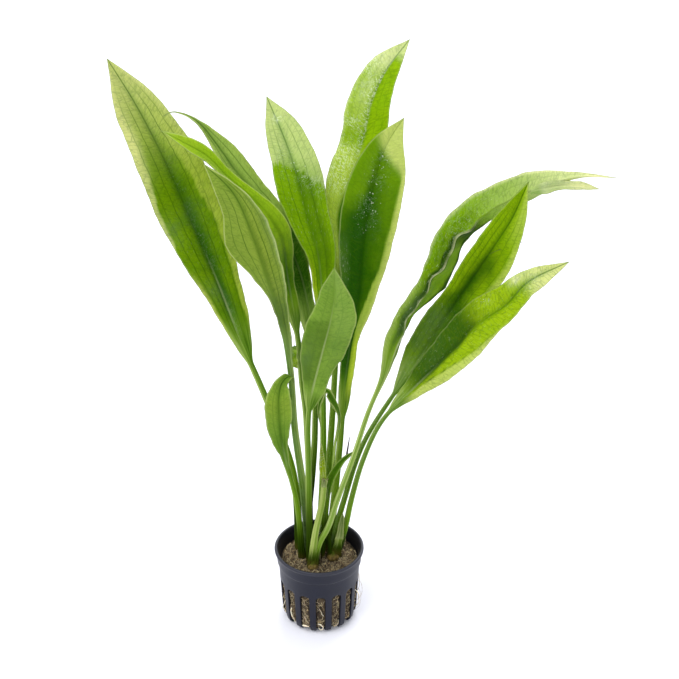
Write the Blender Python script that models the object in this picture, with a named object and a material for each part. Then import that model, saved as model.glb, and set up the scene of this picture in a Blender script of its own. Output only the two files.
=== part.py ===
"""Potted amazon sword plant: net pot, plug of growing wool, leaves grown from its top.

Lengths in the tables are millimetres. Z is up, X is right, and the front of the plant is at -Y.
The origin is the centre of the pot's flat underside.
"""
import math

import bmesh
import bpy
import numpy as np

MM = 0.001

# Pot
SLOT_COUNT = 15
FIRST_SLOT_ANGLE = 2.5
SLOT_HALF_ANGLE = 7.2
PITCH_ANGLE = 360.0 / SLOT_COUNT
# Each row: outer radius and height, inner radius and height, from the middle of the base to the lip
POT_ROWS = [
    (9.0, 0.0, 9.0, 1.5),
    (16.5, 0.0, 16.5, 1.5),
    (19.0, 0.5, 18.1, 1.9),
    (20.5, 2.4, 19.2, 3.1),
    (21.1, 5.5, 19.9, 5.7),
    (21.6, 15.0, 20.4, 15.0),
    (22.2, 26.5, 21.0, 26.5),
    (22.7, 36.5, 21.5, 36.5),
    (23.5, 37.2, 21.7, 38.0),
    (23.9, 43.4, 22.4, 43.2),
    (24.9, 44.3, 23.0, 44.6),
    (25.0, 45.3, 23.3, 45.7),
    (24.5, 46.0, 23.8, 46.0),
]
FIRST_SLOT_ROW = 1
LAST_SLOT_ROW = 6
POT_COLOUR = (0.022, 0.026, 0.036)

# Plug of growing wool
SOIL_TOP = 38.6
SOIL_GAP = 0.5
SOIL_COLUMNS = 30
PLANTING_RADIUS = 16.8
BANK_WIDTH = 3.0
# Rings of the plug's open top, from the wall to the middle
SOIL_TOP_RADII = (20.9, 17.5, 14.0, 9.0)
# Each rise of the top: place, height, spread
SOIL_RISES = [
    (-17.0, 2.0, 4.2, 16.0),
    (2.0, -19.5, 1.6, 40.0),
]
SOIL_COLOUR = (0.10, 0.065, 0.035)
CROWN_BOTTOM = 39.0
CROWN_COLOUR = (0.30, 0.24, 0.08)
# Height shares of a swollen plant base and its size there
CROWN_LEVELS = [(0.0, 0.55), (0.15, 0.9), (0.45, 1.0), (0.75, 0.75), (0.93, 0.4)]
CROWN_COLUMNS = 10

# Leaves
STEM_BOTTOM = 39.0
WIDTH_SHARES = (0.06, 0.18, 0.32, 0.46, 0.60, 0.74, 0.88)
BLADE_THICKNESS = 0.6
TIP_HALF_WIDTH = 0.5
ACROSS = (-1.0, -0.5, 0.0, 0.5, 1.0)
BASE_SWELL = 0.35
BASE_SWELL_HEIGHT = 9.0
# Share of the blade over which the round stem turns into a flat blade
STEM_TO_BLADE = 0.25
# Rib under the middle of the blade: places along the blade, its thickness there as shares of the stem's
RIB_PLACES = (0.0, 0.5, 1.0)
RIB_SHARES = (1.0, 0.42, 0.04)
RIB_DEPTH = 0.55
RIB_HALF_WIDTH = 1.6
# Share of the stem's thickness that lies above its middle line
STEM_ABOVE = 0.38
WAVE_OFFSET = 2.0
# Steps along a stem and along a blade, for the large leaves and for the small pieces
LARGE_STEPS = (7, 13)
SMALL_STEPS = (5, 6)
SMALL_STEM = 1.2
SMALL_TOP = 100.0
CURVE_STEPS = 40
DIRECTION_STEP = 0.004

# Per leaf: points along the middle from the soil to the tip, share of the length where the blade starts,
# half widths of the blade to its left and right at WIDTH_SHARES, half width and thickness of the stem,
# direction that the upper face looks to at the blade's start and at its tip, fold along the middle in
# degrees, height and number of the edge waves, and base colour.
LEAVES = {
    "far_left": dict(
        points=[(-11, 5, 39), (-14.5, 10.5, 90), (-28.5, 15, 135), (-42, 20, 170), (-53, 26, 201),
                (-66, 33, 234), (-80, 38, 269), (-91, 40, 293), (-103, 40, 316)],
        blade_from=0.40,
        left=(3.5, 7, 12.5, 16, 17, 15, 11),
        right=(5, 10, 12.5, 15.5, 17.5, 14.5, 9),
        stem=(2.0, 3.0), face=((0.3, -0.85, 0.4), (0.3, -0.8, 0.5)), fold=12, wave=(1.0, 3),
        colour=(0.20, 0.36, 0.04)),
    "left_back": dict(
        points=[(-8, 12.5, 39), (-2, 17, 112), (-3, 24, 165), (-10, 30, 205), (-27, 32, 239), (-47, 30, 264),
                (-61, 26, 281), (-74, 20, 295)],
        blade_from=0.43,
        left=(4, 6.5, 9, 11, 11, 8.5, 4.5),
        right=(3.5, 4, 6.5, 6.5, 7.5, 9, 5),
        stem=(1.8, 2.8), face=((0.2, -0.8, 0.5), (0.3, -0.7, 0.6)), fold=15, wave=(1.0, 3),
        colour=(0.22, 0.34, 0.08)),
    "left_bright": dict(
        points=[(-5.3, 8, 39), (-6, 9.5, 111), (-9, 12, 172), (-13, 10, 207), (-23, 9, 238), (-45, 8, 261),
                (-59, 6, 277), (-73, 4, 290)],
        blade_from=0.49,
        left=(3, 5.5, 8, 8.5, 7, 4.5, 2.5),
        right=(3, 5.5, 8.5, 9, 7, 5, 3),
        stem=(1.8, 2.8), face=((0.2, -0.8, 0.5), (0.4, -0.7, 0.6)), fold=12, wave=(0.8, 3),
        colour=(0.24, 0.42, 0.05)),
    "left_front": dict(
        points=[(-5.5, 2.2, 39), (-8.5, -4, 90), (-12, -11, 132), (-14, -18, 178), (-17, -22, 201),
                (-23, -25, 226), (-30, -27, 253), (-39, -26, 275), (-52, -22, 287)],
        blade_from=0.54,
        left=(2.5, 4, 6, 9.5, 9, 8.5, 3),
        right=(1.5, 2, 2.5, 10, 16, 12.5, 8),
        stem=(2.0, 3.0), face=((0.1, 0.9, 0.1), (0.3, 0.9, -0.2)), fold=8, wave=(1.2, 3),
        colour=(0.30, 0.40, 0.16)),
    "centre_left": dict(
        points=[(0, 3.5, 39), (3.5, 8, 100), (4, 13, 153), (3, 20, 191), (0, 24, 218), (-5, 28, 236),
                (-9, 31, 253), (-14, 35, 269), (-25, 41, 296)],
        blade_from=0.52,
        left=(3, 4.5, 6, 9.5, 12.5, 11, 7.5),
        right=(3, 6, 9.5, 11, 12.5, 12, 8.5),
        stem=(1.8, 2.6), face=((0.0, -0.85, 0.5), (0.1, -0.8, 0.6)), fold=10, wave=(0.8, 3),
        colour=(0.20, 0.38, 0.04)),
    "top": dict(
        points=[(1.5, 10, 39), (7, 15, 114), (10, 24, 172), (11, 32, 214), (10, 36, 234), (19, 41, 259),
                (24, 45, 274), (27, 49, 288), (33, 55, 301), (47, 66, 317)],
        blade_from=0.51,
        left=(3, 4.5, 5.5, 11.5, 11, 12, 8.5),
        right=(3, 5, 7.5, 10.5, 12, 11, 6.5),
        stem=(1.8, 2.6), face=((0.0, -0.85, 0.5), (-0.3, -0.8, 0.5)), fold=10, wave=(1.0, 3),
        colour=(0.20, 0.38, 0.04)),
    "centre_right": dict(
        points=[(5.5, 5, 39), (11.5, 2, 112), (15, -5, 164), (18, -7, 189), (21, -8, 207), (23, -9, 235),
                (27, -8, 265), (34, -4, 289), (42, 0, 301)],
        blade_from=0.34,
        left=(2.5, 3.5, 5.5, 9.5, 12, 13.5, 9.5),
        right=(3, 4, 4.5, 8.5, 13.5, 15.5, 13),
        stem=(2.0, 3.0), face=((0.1, -0.9, 0.3), (-0.1, -0.8, 0.5)), fold=14, wave=(1.0, 3),
        colour=(0.12, 0.26, 0.02)),
    "front_small": dict(
        points=[(-5, -5, 39), (-5, -19, 111), (-4, -27, 154), (3, -36, 193), (7, -41, 213),
                (9, -45, 229), (9, -50, 247)],
        blade_from=0.54,
        left=(2.5, 5.5, 9, 11, 11.5, 8.5, 6.5),
        right=(3.5, 6.5, 7.5, 11, 12, 11.5, 5.5),
        stem=(1.7, 2.4), face=((0.0, -0.9, 0.4), (0.0, -0.8, 0.5)), fold=8, wave=(0.6, 2),
        colour=(0.30, 0.42, 0.12)),
    "curled_small": dict(
        points=[(-9.5, -1.5, 39), (-12, -12, 87), (-17, -22, 119), (-20, -26, 147), (-21, -28, 164),
                (-19.3, -26.5, 173), (-15.5, -23.5, 174), (-12.3, -21.5, 167.5)],
        blade_from=0.46,
        left=(1.5, 2.5, 4, 6, 6.5, 5.5, 3),
        right=(2.5, 4, 5.5, 7.5, 8, 7, 3.5),
        stem=(1.5, 2.2), face=((0.0, -0.95, 0.2), (0.5, 0.7, 0.5)), fold=6, wave=(0.5, 2),
        colour=(0.28, 0.42, 0.12)),
    "arch_right": dict(
        points=[(2, -5.5, 39), (11, -8, 80), (19, -5, 110), (28, 2, 138), (36, 7, 156), (43, 14, 172),
                (50, 20, 186), (59, 24, 199), (66, 28, 209), (73, 31, 221), (82, 35, 229), (95, 39, 237),
                (111, 43, 243), (132, 48, 247), (156, 54, 246)],
        blade_from=0.36,
        left=(3, 5, 13, 13, 9, 11, 9),
        right=(4, 6.5, 5.5, 11, 12.5, 11.5, 4.5),
        stem=(2.1, 3.2), face=((-0.58, 0.9, 0.03), (-0.15, 0.9, -0.1)), fold=36, wave=(0.8, 4),
        colour=(0.20, 0.36, 0.04)),
    "right_mid": dict(
        points=[(9.5, 0.6, 39), (16.6, 3, 81), (25, 7, 110), (39, 9, 138), (52, 10, 159), (64, 11, 181), (78, 12, 206),
                (90, 10, 229), (98, 9, 243), (105, 8, 257)],
        blade_from=0.43,
        left=(3, 7.5, 11, 10, 8, 8, 7),
        right=(3, 6, 9.5, 12.5, 14.5, 15, 8),
        stem=(1.8, 2.8), face=((-0.2, -0.8, 0.6), (-0.2, -0.8, 0.6)), fold=16, wave=(1.0, 3),
        colour=(0.18, 0.34, 0.04)),
    "right_low": dict(
        points=[(15, 0, 39), (20, -1, 77), (24, -3, 106), (34, -8, 135), (49, -14, 159), (68, -21, 188),
                (79, -26, 205), (91, -31, 218), (100, -35, 231), (119, -42, 246)],
        blade_from=0.43,
        left=(3, 6, 8.5, 9.5, 9.5, 8, 4),
        right=(2.5, 6, 10.5, 13.5, 12.5, 8.5, 7),
        stem=(1.8, 2.8), face=((-0.2, -0.8, 0.6), (-0.1, -0.7, 0.7)), fold=14, wave=(0.8, 3),
        colour=(0.32, 0.44, 0.06)),
    "kinked_young": dict(
        points=[(2.2, -0.7, 39), (5.5, -1, 80), (8.5, -1.5, 101), (12, -3, 128), (8, -9, 148), (4, -11.5, 155),
                (2, -13, 150), (2, -14.5, 132)],
        blade_from=0.55,
        left=(0.9, 1.2, 1.7, 2.1, 2.1, 1.7, 1.2),
        right=(0.9, 1.2, 1.7, 2.1, 2.1, 1.7, 1.2),
        stem=(0.8, 1.4), face=((1.0, -0.3, 0.5), (-1.0, -0.3, 0.5)), fold=10, wave=(0.2, 2),
        colour=(0.22, 0.36, 0.05)),
    "bud": dict(
        points=[(-1.3, -3.2, 39), (2.3, -6, 80), (3.8, -9, 104), (3.6, -11, 118), (2.4, -12, 127)],
        blade_from=0.72,
        left=(1.2, 1.6, 2, 2.1, 1.9, 1.5, 1),
        right=(1.2, 1.6, 2, 2.1, 1.9, 1.5, 1),
        stem=(0.8, 1.2), face=((0.0, -0.9, 0.3), (0.0, -0.9, 0.3)), fold=20, wave=(0.4, 2),
        colour=(0.45, 0.42, 0.12)),
    "short_young": dict(
        points=[(6.3, -2.2, 39), (6, -4, 62), (5, -6, 88), (8.5, -7.5, 110), (14.5, -3, 119),
                (21.5, 1.5, 120.5)],
        blade_from=0.50,
        left=(1.2, 1.8, 2.3, 2.6, 2.3, 1.8, 1.2),
        right=(1.2, 1.8, 2.3, 2.6, 2.3, 1.8, 1.2),
        stem=(0.9, 1.5), face=((-0.3, -0.8, 0.5), (-0.3, -0.8, 0.5)), fold=15, wave=(0.3, 2),
        colour=(0.24, 0.36, 0.05)),
    "cut_stub": dict(
        points=[(-2, -9.5, 39), (-1.5, -10.5, 60), (0.5, -11.5, 80), (2.5, -12.5, 93)],
        blade_from=0.80,
        left=(2, 2, 2, 1.9, 1.9, 1.8, 1.6),
        right=(2, 2, 2, 1.9, 1.9, 1.8, 1.6),
        stem=(2.2, 2.6), face=((0.0, -1.0, 0.2), (0.0, -1.0, 0.2)), fold=10, wave=(0.0, 1),
        colour=(0.42, 0.44, 0.22)),
    "sheath": dict(
        points=[(12.5, -5.5, 39), (12.7, -5, 48), (12.8, -4.8, 56), (12.6, -5, 64)],
        blade_from=0.30,
        left=(2.4, 2.3, 2.1, 1.9, 1.6, 1.3, 0.9),
        right=(2.4, 2.3, 2.1, 1.9, 1.6, 1.3, 0.9),
        stem=(2.4, 1.8), face=((0.2, -1.0, 0.2), (0.2, -1.0, 0.2)), fold=20, wave=(0.2, 1),
        colour=(0.36, 0.40, 0.18)),
}

# Swollen plant bases beside the stems: middle, radii
CROWNS = {
    "crown_front": dict(middle=(-1.5, -14.6), radii=(3.4, 2.8), height=7.0),
    "crown_right": dict(middle=(8.2, -9.6), radii=(2.3, 2.3), height=7.0),
}

# One root that loops out of a slot: angle of the slot, then radius, height and sideways shift of its points
ROOT_ANGLE = FIRST_SLOT_ANGLE + 3 * PITCH_ANGLE
ROOT_POINTS = [(20.8, 20.5, -1.4), (23.4, 19.5, -1.8), (24.4, 14.0, 0.5), (23.6, 8.0, 1.6),
               (20.9, 6.5, 1.2)]
ROOT_RADIUS = 0.55
ROOT_STEPS = 15
ROOT_COLUMNS = 6
ROOT_COLOUR = (0.72, 0.66, 0.52)


def unit(vectors):
    vectors = np.asarray(vectors, float)
    return vectors / np.linalg.norm(vectors, axis=-1, keepdims=True)


def smooth_step(value):
    value = np.clip(value, 0.0, 1.0)
    return value * value * (3.0 - 2.0 * value)


def curve_through(points, shares):
    """Points and directions at shares of the length of a smooth curve through the given points."""
    points = np.asarray(points, float)
    chord = np.linalg.norm(np.diff(points, axis=0), axis=1)
    knots = np.concatenate([[0.0], np.cumsum(chord)])
    slopes = np.diff(points, axis=0) / chord[:, None]
    tangents = np.empty_like(points)
    tangents[0] = slopes[0]
    tangents[-1] = slopes[-1]
    before = chord[:-1, None]
    after = chord[1:, None]
    tangents[1:-1] = (slopes[:-1] * after + slopes[1:] * before) / (before + after)
    places = np.linspace(0.0, knots[-1], CURVE_STEPS * len(chord) + 1)
    index = np.clip(np.searchsorted(knots, places, side="right") - 1, 0, len(chord) - 1)
    length = chord[index][:, None]
    t = ((places - knots[index]) / chord[index])[:, None]
    start = points[index]
    end = points[index + 1]
    dense = ((2 * t**3 - 3 * t**2 + 1) * start + (t**3 - 2 * t**2 + t) * length * tangents[index]
             + (-2 * t**3 + 3 * t**2) * end + (t**3 - t**2) * length * tangents[index + 1])
    run = np.concatenate([[0.0], np.cumsum(np.linalg.norm(np.diff(dense, axis=0), axis=1))])
    wanted = np.asarray(shares) * run[-1]

    def at(distance):
        return np.stack([np.interp(distance, run, dense[:, axis]) for axis in range(3)], axis=-1)

    step = run[-1] * DIRECTION_STEP
    ahead = at(np.minimum(wanted + step, run[-1]))
    behind = at(np.maximum(wanted - step, 0.0))
    return at(wanted), unit(ahead - behind), run[-1]


def half_width(values, share, stem_half):
    """Half width of a blade at a share of its own length."""
    places = np.array((0.0,) + WIDTH_SHARES + (1.0,))
    widths = np.array((stem_half,) + tuple(values) + (TIP_HALF_WIDTH,), float)
    slope = np.gradient(widths, places)
    slope[0] = 0.0
    index = np.clip(np.searchsorted(places, share, side="right") - 1, 0, len(places) - 2)
    gap = places[index + 1] - places[index]
    t = (share - places[index]) / gap
    return ((2 * t**3 - 3 * t**2 + 1) * widths[index] + (t**3 - 2 * t**2 + t) * gap * slope[index]
            + (-2 * t**3 + 3 * t**2) * widths[index + 1] + (t**3 - t**2) * gap * slope[index + 1])


def leaf_surface(leaf, stem_steps, blade_steps, across):
    """Upper and lower faces of a leaf as grids of points: station along the leaf, place across it."""
    start = leaf["blade_from"]
    stem_shares = np.linspace(0.0, start, stem_steps + 1)[:-1]
    blade_shares = start + (1.0 - start) * np.linspace(0.0, 1.0, blade_steps + 1)
    shares = np.concatenate([stem_shares, blade_shares])
    middle, along, length = curve_through(leaf["points"], shares)
    blade = np.clip((shares - start) / (1.0 - start), 0.0, 1.0)
    low, high = (np.asarray(face, float) for face in leaf["face"])
    face = unit(low)[None, :] * (1.0 - blade[:, None]) + unit(high)[None, :] * blade[:, None]
    normal = unit(face - np.sum(face * along, axis=1, keepdims=True) * along)
    side = np.cross(along, normal)
    stem_half, stem_thick = leaf["stem"]
    swell = 1.0 + BASE_SWELL * np.exp(-shares * length / BASE_SWELL_HEIGHT)
    leafy = smooth_step(blade / STEM_TO_BLADE)
    fold = math.radians(leaf["fold"]) * leafy
    wave_height, wave_count = leaf["wave"]
    rib = stem_thick * np.interp(blade, RIB_PLACES, RIB_SHARES)
    half_blade = BLADE_THICKNESS / 2.0
    upper = np.empty((len(shares), len(across), 3))
    lower = np.empty_like(upper)
    for column, place in enumerate(across):
        values = leaf["left"] if place < 0 else leaf["right"]
        width = np.where(blade > 0.0, half_width(values, blade, stem_half), stem_half * swell)
        out = width * abs(place)
        phase = WAVE_OFFSET if place < 0 else 0.0
        ripple = wave_height * leafy * place * place * np.sin(2.0 * math.pi * wave_count * blade + phase)
        lift = out * np.sin(fold) + ripple * (1.0 - blade**6)
        base = middle + side * (out * np.cos(fold) * np.sign(place))[:, None] + normal * lift[:, None]
        round_part = math.sqrt(max(0.0, 1.0 - place * place))
        edge = 0.0 if abs(place) > 0.999 else 1.0
        rib_part = np.clip(1.0 - out / (RIB_HALF_WIDTH + stem_half), 0.0, 1.0)
        stem_up = STEM_ABOVE * stem_thick * swell * round_part
        stem_down = (1.0 - STEM_ABOVE) * stem_thick * swell * round_part
        blade_up = half_blade * edge
        blade_down = (half_blade + RIB_DEPTH * rib * rib_part) * edge
        up = stem_up * (1.0 - leafy) + blade_up * leafy
        down = stem_down * (1.0 - leafy) + blade_down * leafy
        upper[:, column] = base + normal * up[:, None]
        lower[:, column] = base - normal * down[:, None]
    upper[0, :, 2] = STEM_BOTTOM
    lower[0, :, 2] = STEM_BOTTOM
    return upper, lower


def ring_grid_faces(rings, columns):
    """Faces of a tube made of closed rings with flat ends, facing out."""
    faces = []
    for ring in range(rings - 1):
        for column in range(columns):
            after = (column + 1) % columns
            low = ring * columns
            high = low + columns
            faces.append((low + column, low + after, high + after, high + column))
    faces.append(tuple(range(columns - 1, -1, -1)))
    last = (rings - 1) * columns
    faces.append(tuple(last + column for column in range(columns)))
    return faces


def leaf_mesh(leaf, stem_steps, blade_steps, across):
    upper, lower = leaf_surface(leaf, stem_steps, blade_steps, across)
    under = lower[:, 1:-1][:, ::-1]
    rings = np.concatenate([upper[:, ::-1], under[:, ::-1]], axis=1)
    columns = rings.shape[1]
    return rings.reshape(-1, 3), ring_grid_faces(len(rings), columns)


def pot_mesh():
    """Net pot as one closed wall with open slots; the middle of the base is a plain disc."""
    angles = []
    slot_column = []
    for slot in range(SLOT_COUNT):
        middle = FIRST_SLOT_ANGLE + slot * PITCH_ANGLE
        rib_middle = middle + PITCH_ANGLE / 2.0
        angles += [middle - SLOT_HALF_ANGLE, middle, middle + SLOT_HALF_ANGLE, rib_middle]
        slot_column += [True, True, False, False]
    columns = len(angles)
    rows = len(POT_ROWS)
    vertices = []
    for radius_key, height_key in ((0, 1), (2, 3)):
        for row in POT_ROWS:
            for angle in angles:
                turn = math.radians(angle)
                radius = row[radius_key]
                vertices.append((radius * math.sin(turn), -radius * math.cos(turn), row[height_key]))
    inner = rows * columns

    def solid(row, column):
        in_slot_rows = FIRST_SLOT_ROW <= row < LAST_SLOT_ROW
        return not (in_slot_rows and slot_column[column % columns])

    faces = []
    for row in range(rows - 1):
        for column in range(columns):
            if not solid(row, column):
                continue
            after = (column + 1) % columns
            a = row * columns + column
            b = row * columns + after
            c = (row + 1) * columns + after
            d = (row + 1) * columns + column
            faces.append((a, b, c, d))
            faces.append((inner + d, inner + c, inner + b, inner + a))
            if not solid(row, column - 1):
                faces.append((a, d, inner + d, inner + a))
            if not solid(row, column + 1):
                faces.append((b, inner + b, inner + c, c))
            if row > 0 and not solid(row - 1, column):
                faces.append((a, inner + a, inner + b, b))
            if row < rows - 2 and not solid(row + 1, column):
                faces.append((d, c, inner + c, inner + d))
    top = (rows - 1) * columns
    under = len(vertices)
    vertices.append((0.0, 0.0, POT_ROWS[0][1]))
    over = len(vertices)
    vertices.append((0.0, 0.0, POT_ROWS[0][3]))
    for column in range(columns):
        after = (column + 1) % columns
        faces.append((top + column, top + after, inner + top + after, inner + top + column))
        faces.append((under, after, column))
        faces.append((over, inner + column, inner + after))
    return vertices, faces


def soil_height(x, y):
    """Top of the growing wool: level under the leaves, with a lump at the left and low bumps around."""
    distance = math.hypot(x, y + 1.0)
    outside = smooth_step((distance - PLANTING_RADIUS) / BANK_WIDTH)
    bumps = 0.9 * math.sin(0.55 * x + 1.0) * math.cos(0.6 * y) - 0.5
    rises = 0.0
    for rise_x, rise_y, height, spread in SOIL_RISES:
        rises += height * math.exp(-((x - rise_x) ** 2 + (y - rise_y) ** 2) / spread)
    return SOIL_TOP + float(outside) * (bumps + rises)


def soil_mesh():
    """Plug of growing wool that fills the pot, clear of its wall."""
    rings = []
    walls = [(row[2] - SOIL_GAP, row[3]) for row in POT_ROWS[1:8]]
    bottom_radius = walls[0][0] - 0.5
    rings.append([(bottom_radius, POT_ROWS[1][3] + SOIL_GAP)] * SOIL_COLUMNS)
    for radius, height in walls[2:]:
        rings.append([(radius, height)] * SOIL_COLUMNS)
    for radius in SOIL_TOP_RADII:
        rings.append([(radius, None)] * SOIL_COLUMNS)
    vertices = []
    for ring in rings:
        for column, (radius, height) in enumerate(ring):
            turn = 2.0 * math.pi * column / SOIL_COLUMNS
            x = radius * math.sin(turn)
            y = -radius * math.cos(turn)
            z = soil_height(x, y) if height is None else height
            vertices.append((x, y, z))
    faces = ring_grid_faces(len(rings), SOIL_COLUMNS)[:-1]
    last = (len(rings) - 1) * SOIL_COLUMNS
    middle = len(vertices)
    vertices.append((0.0, 0.0, SOIL_TOP))
    for column in range(SOIL_COLUMNS):
        faces.append((last + column, last + (column + 1) % SOIL_COLUMNS, middle))
    return vertices, faces


def crown_mesh(crown):
    """Swollen plant base, an upright egg that stands on the growing wool."""
    vertices = []
    for share, size in CROWN_LEVELS:
        for column in range(CROWN_COLUMNS):
            turn = 2.0 * math.pi * column / CROWN_COLUMNS
            vertices.append((crown["middle"][0] + crown["radii"][0] * size * math.sin(turn),
                             crown["middle"][1] - crown["radii"][1] * size * math.cos(turn),
                             CROWN_BOTTOM + share * crown["height"]))
    faces = ring_grid_faces(len(CROWN_LEVELS), CROWN_COLUMNS)
    return vertices, faces


def root_mesh():
    """Thick white root that loops out of one slot."""
    turn = math.radians(ROOT_ANGLE)
    points = []
    for radius, height, shift in ROOT_POINTS:
        x = radius * math.sin(turn) + shift * math.cos(turn)
        y = -radius * math.cos(turn) + shift * math.sin(turn)
        points.append((x, y, height))
    middle, along, length = curve_through(points, np.linspace(0.0, 1.0, ROOT_STEPS))
    first = unit(np.cross(along, (math.cos(turn), math.sin(turn), 0.0)))
    second = np.cross(along, first)
    vertices = []
    for place, one, two in zip(middle, first, second):
        for column in range(ROOT_COLUMNS):
            around = 2.0 * math.pi * column / ROOT_COLUMNS
            vertices.append(tuple(place + ROOT_RADIUS * (math.cos(around) * one + math.sin(around) * two)))
    return vertices, ring_grid_faces(ROOT_STEPS, ROOT_COLUMNS)


def plain_material(name, colour, roughness):
    material = bpy.data.materials.new(name)
    material.use_nodes = True
    shader = material.node_tree.nodes["Principled BSDF"]
    shader.inputs["Base Color"].default_value = (*colour, 1.0)
    shader.inputs["Roughness"].default_value = roughness
    return material


def add_node(name, mesh_parts, colour, roughness):
    """One closed solid, turned to face out, in metres."""
    vertices, faces = mesh_parts
    mesh = bpy.data.meshes.new(name)
    mesh.from_pydata([tuple(float(value) * MM for value in vertex) for vertex in vertices], [], faces)
    shape = bmesh.new()
    shape.from_mesh(mesh)
    if shape.calc_volume(signed=True) < 0.0:
        bmesh.ops.reverse_faces(shape, faces=shape.faces)
    bmesh.ops.triangulate(shape, faces=shape.faces)
    shape.to_mesh(mesh)
    shape.free()
    for face in mesh.polygons:
        face.use_smooth = True
    node = bpy.data.objects.new(name, mesh)
    bpy.context.scene.collection.objects.link(node)
    node.data.materials.append(plain_material(name + "_material", colour, roughness))
    return node


def main():
    for thing in list(bpy.data.objects):
        bpy.data.objects.remove(thing, do_unlink=True)
    add_node("pot", pot_mesh(), POT_COLOUR, 0.45)
    add_node("soil", soil_mesh(), SOIL_COLOUR, 0.95)
    for name, crown in CROWNS.items():
        add_node(name, crown_mesh(crown), CROWN_COLOUR, 0.6)
    add_node("root", root_mesh(), ROOT_COLOUR, 0.6)
    for name, leaf in LEAVES.items():
        small = leaf["stem"][0] < SMALL_STEM or leaf["points"][-1][2] < SMALL_TOP
        stem_steps, blade_steps = SMALL_STEPS if small else LARGE_STEPS
        add_node(name, leaf_mesh(leaf, stem_steps, blade_steps, ACROSS), leaf["colour"], 0.4)


main()
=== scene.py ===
"""Looks of a potted amazon sword plant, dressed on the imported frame.

Lengths are millimetres until they reach Blender, which takes metres. Z is up, X is right and the front of
the plant is at -Y. The origin is the centre of the pot's flat underside. Colours are written as seen on
a screen, 0 to 255; a shade is what a colour is multiplied by.
"""
import functools
import math
import random

import bpy
import numpy as np
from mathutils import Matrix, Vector, noise


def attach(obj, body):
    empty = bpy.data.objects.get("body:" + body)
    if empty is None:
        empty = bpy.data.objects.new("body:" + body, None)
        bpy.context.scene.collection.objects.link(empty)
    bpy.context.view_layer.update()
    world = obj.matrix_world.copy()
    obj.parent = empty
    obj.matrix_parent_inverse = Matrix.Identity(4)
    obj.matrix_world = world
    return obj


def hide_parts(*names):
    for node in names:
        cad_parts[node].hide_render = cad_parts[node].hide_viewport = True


MM = 0.001
BODY = "root"

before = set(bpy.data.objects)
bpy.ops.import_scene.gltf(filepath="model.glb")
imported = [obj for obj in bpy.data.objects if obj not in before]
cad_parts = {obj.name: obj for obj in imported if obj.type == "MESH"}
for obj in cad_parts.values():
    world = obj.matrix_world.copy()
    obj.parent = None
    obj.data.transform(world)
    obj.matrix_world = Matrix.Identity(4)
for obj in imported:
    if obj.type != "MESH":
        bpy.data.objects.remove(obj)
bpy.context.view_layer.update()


def seen(red, green, blue):
    """Colour as seen on a screen, turned into the light values that the shaders take."""
    light = []
    for value in (red / 255.0, green / 255.0, blue / 255.0):
        light.append(value / 12.92 if value <= 0.04045 else ((value + 0.055) / 1.055) ** 2.4)
    return (*light, 1.0)


# Camera at the photograph's place: metres, degrees below level, lens in millimetres
CAMERA_PLACE = (0.01141, -0.66981, 0.56931)
CAMERA_PITCH = 30.206
CAMERA_LENS = 79.83
SENSOR_WIDTH = 36.0

# Pot, as in the solids. Each row: outer radius and height, inner radius and height
SLOT_COUNT = 15
FIRST_SLOT_ANGLE = 2.5
SLOT_HALF_ANGLE = 7.2
PITCH_ANGLE = 360.0 / SLOT_COUNT
POT_ROWS = [
    (9.0, 0.0, 9.0, 1.5),
    (16.5, 0.0, 16.5, 1.5),
    (19.0, 0.5, 18.1, 1.9),
    (20.5, 2.4, 19.2, 3.1),
    (21.1, 5.5, 19.9, 5.7),
    (21.6, 15.0, 20.4, 15.0),
    (22.2, 26.5, 21.0, 26.5),
    (22.7, 36.5, 21.5, 36.5),
    (23.5, 37.2, 21.7, 38.0),
    (23.9, 43.4, 22.4, 43.2),
    (24.9, 44.3, 23.0, 44.6),
    (25.0, 45.3, 23.3, 45.7),
    (24.5, 46.0, 23.8, 46.0),
]
SLOT_ROWS = range(1, 6)
SLOT_STEPS = 8
SLOT_ARCH = 1.5
RIB_STEPS = 6
ROW_STEP = 2.2
FLOOR_RISE = 0.35
POT_EDGE = 0.28
POT_EDGE_ANGLE = 32.0

# Growing wool. Holes: angle, height, half across in degrees, half up, depth. Rises: x, y, height, spread
SOIL_TOP = 38.6
SOIL_GAP = 0.4
WOOL_HOLES = [
    (2.5, 15.4, 3.4, 3.0, 3.2),
    (-45.5, 19.5, 2.4, 2.0, 1.8),
    (50.5, 12.0, 2.6, 2.4, 2.0),
    (-93.5, 14.0, 3.0, 2.6, 2.2),
    (170.5, 12.0, 3.2, 2.4, 2.4),
    (122.5, 19.0, 2.8, 2.2, 2.0),
]
SOIL_RISES = [(-17.0, 2.0, 4.2, 16.0), (2.0, -19.5, 1.6, 40.0)]
WOOL_COLUMNS = 240
WOOL_SIDE_STEPS = 60
WOOL_TOP_STEPS = 46

# Fibres and grains: how many, lengths and radii from and to, heights where they hang in the slots
TOP_FIBRES = 2600
TOP_FIBRE_LENGTH = (1.2, 4.2)
TOP_FIBRE_RADIUS = (0.05, 0.13)
THICK_FIBRE_EVERY = 16
THICK_FIBRE_MORE = 1.9
LONG_FIBRE_MORE = 1.5
SLOT_FIBRES = 1900
SLOT_FIBRE_LENGTH = (1.0, 4.0)
SLOT_FIBRE_RADIUS = (0.05, 0.12)
SLOT_FIBRE_HEIGHT = (3.0, 25.6)
SLOT_HEIGHT = (2.5, 26.0)
GRAINS = 700
GRAIN_SIZE = (0.18, 0.5)
GRAIN_HEIGHT = (4.0, 25.0)
TOP_REACH = 21.0
TOP_LIMIT = 21.4

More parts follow.
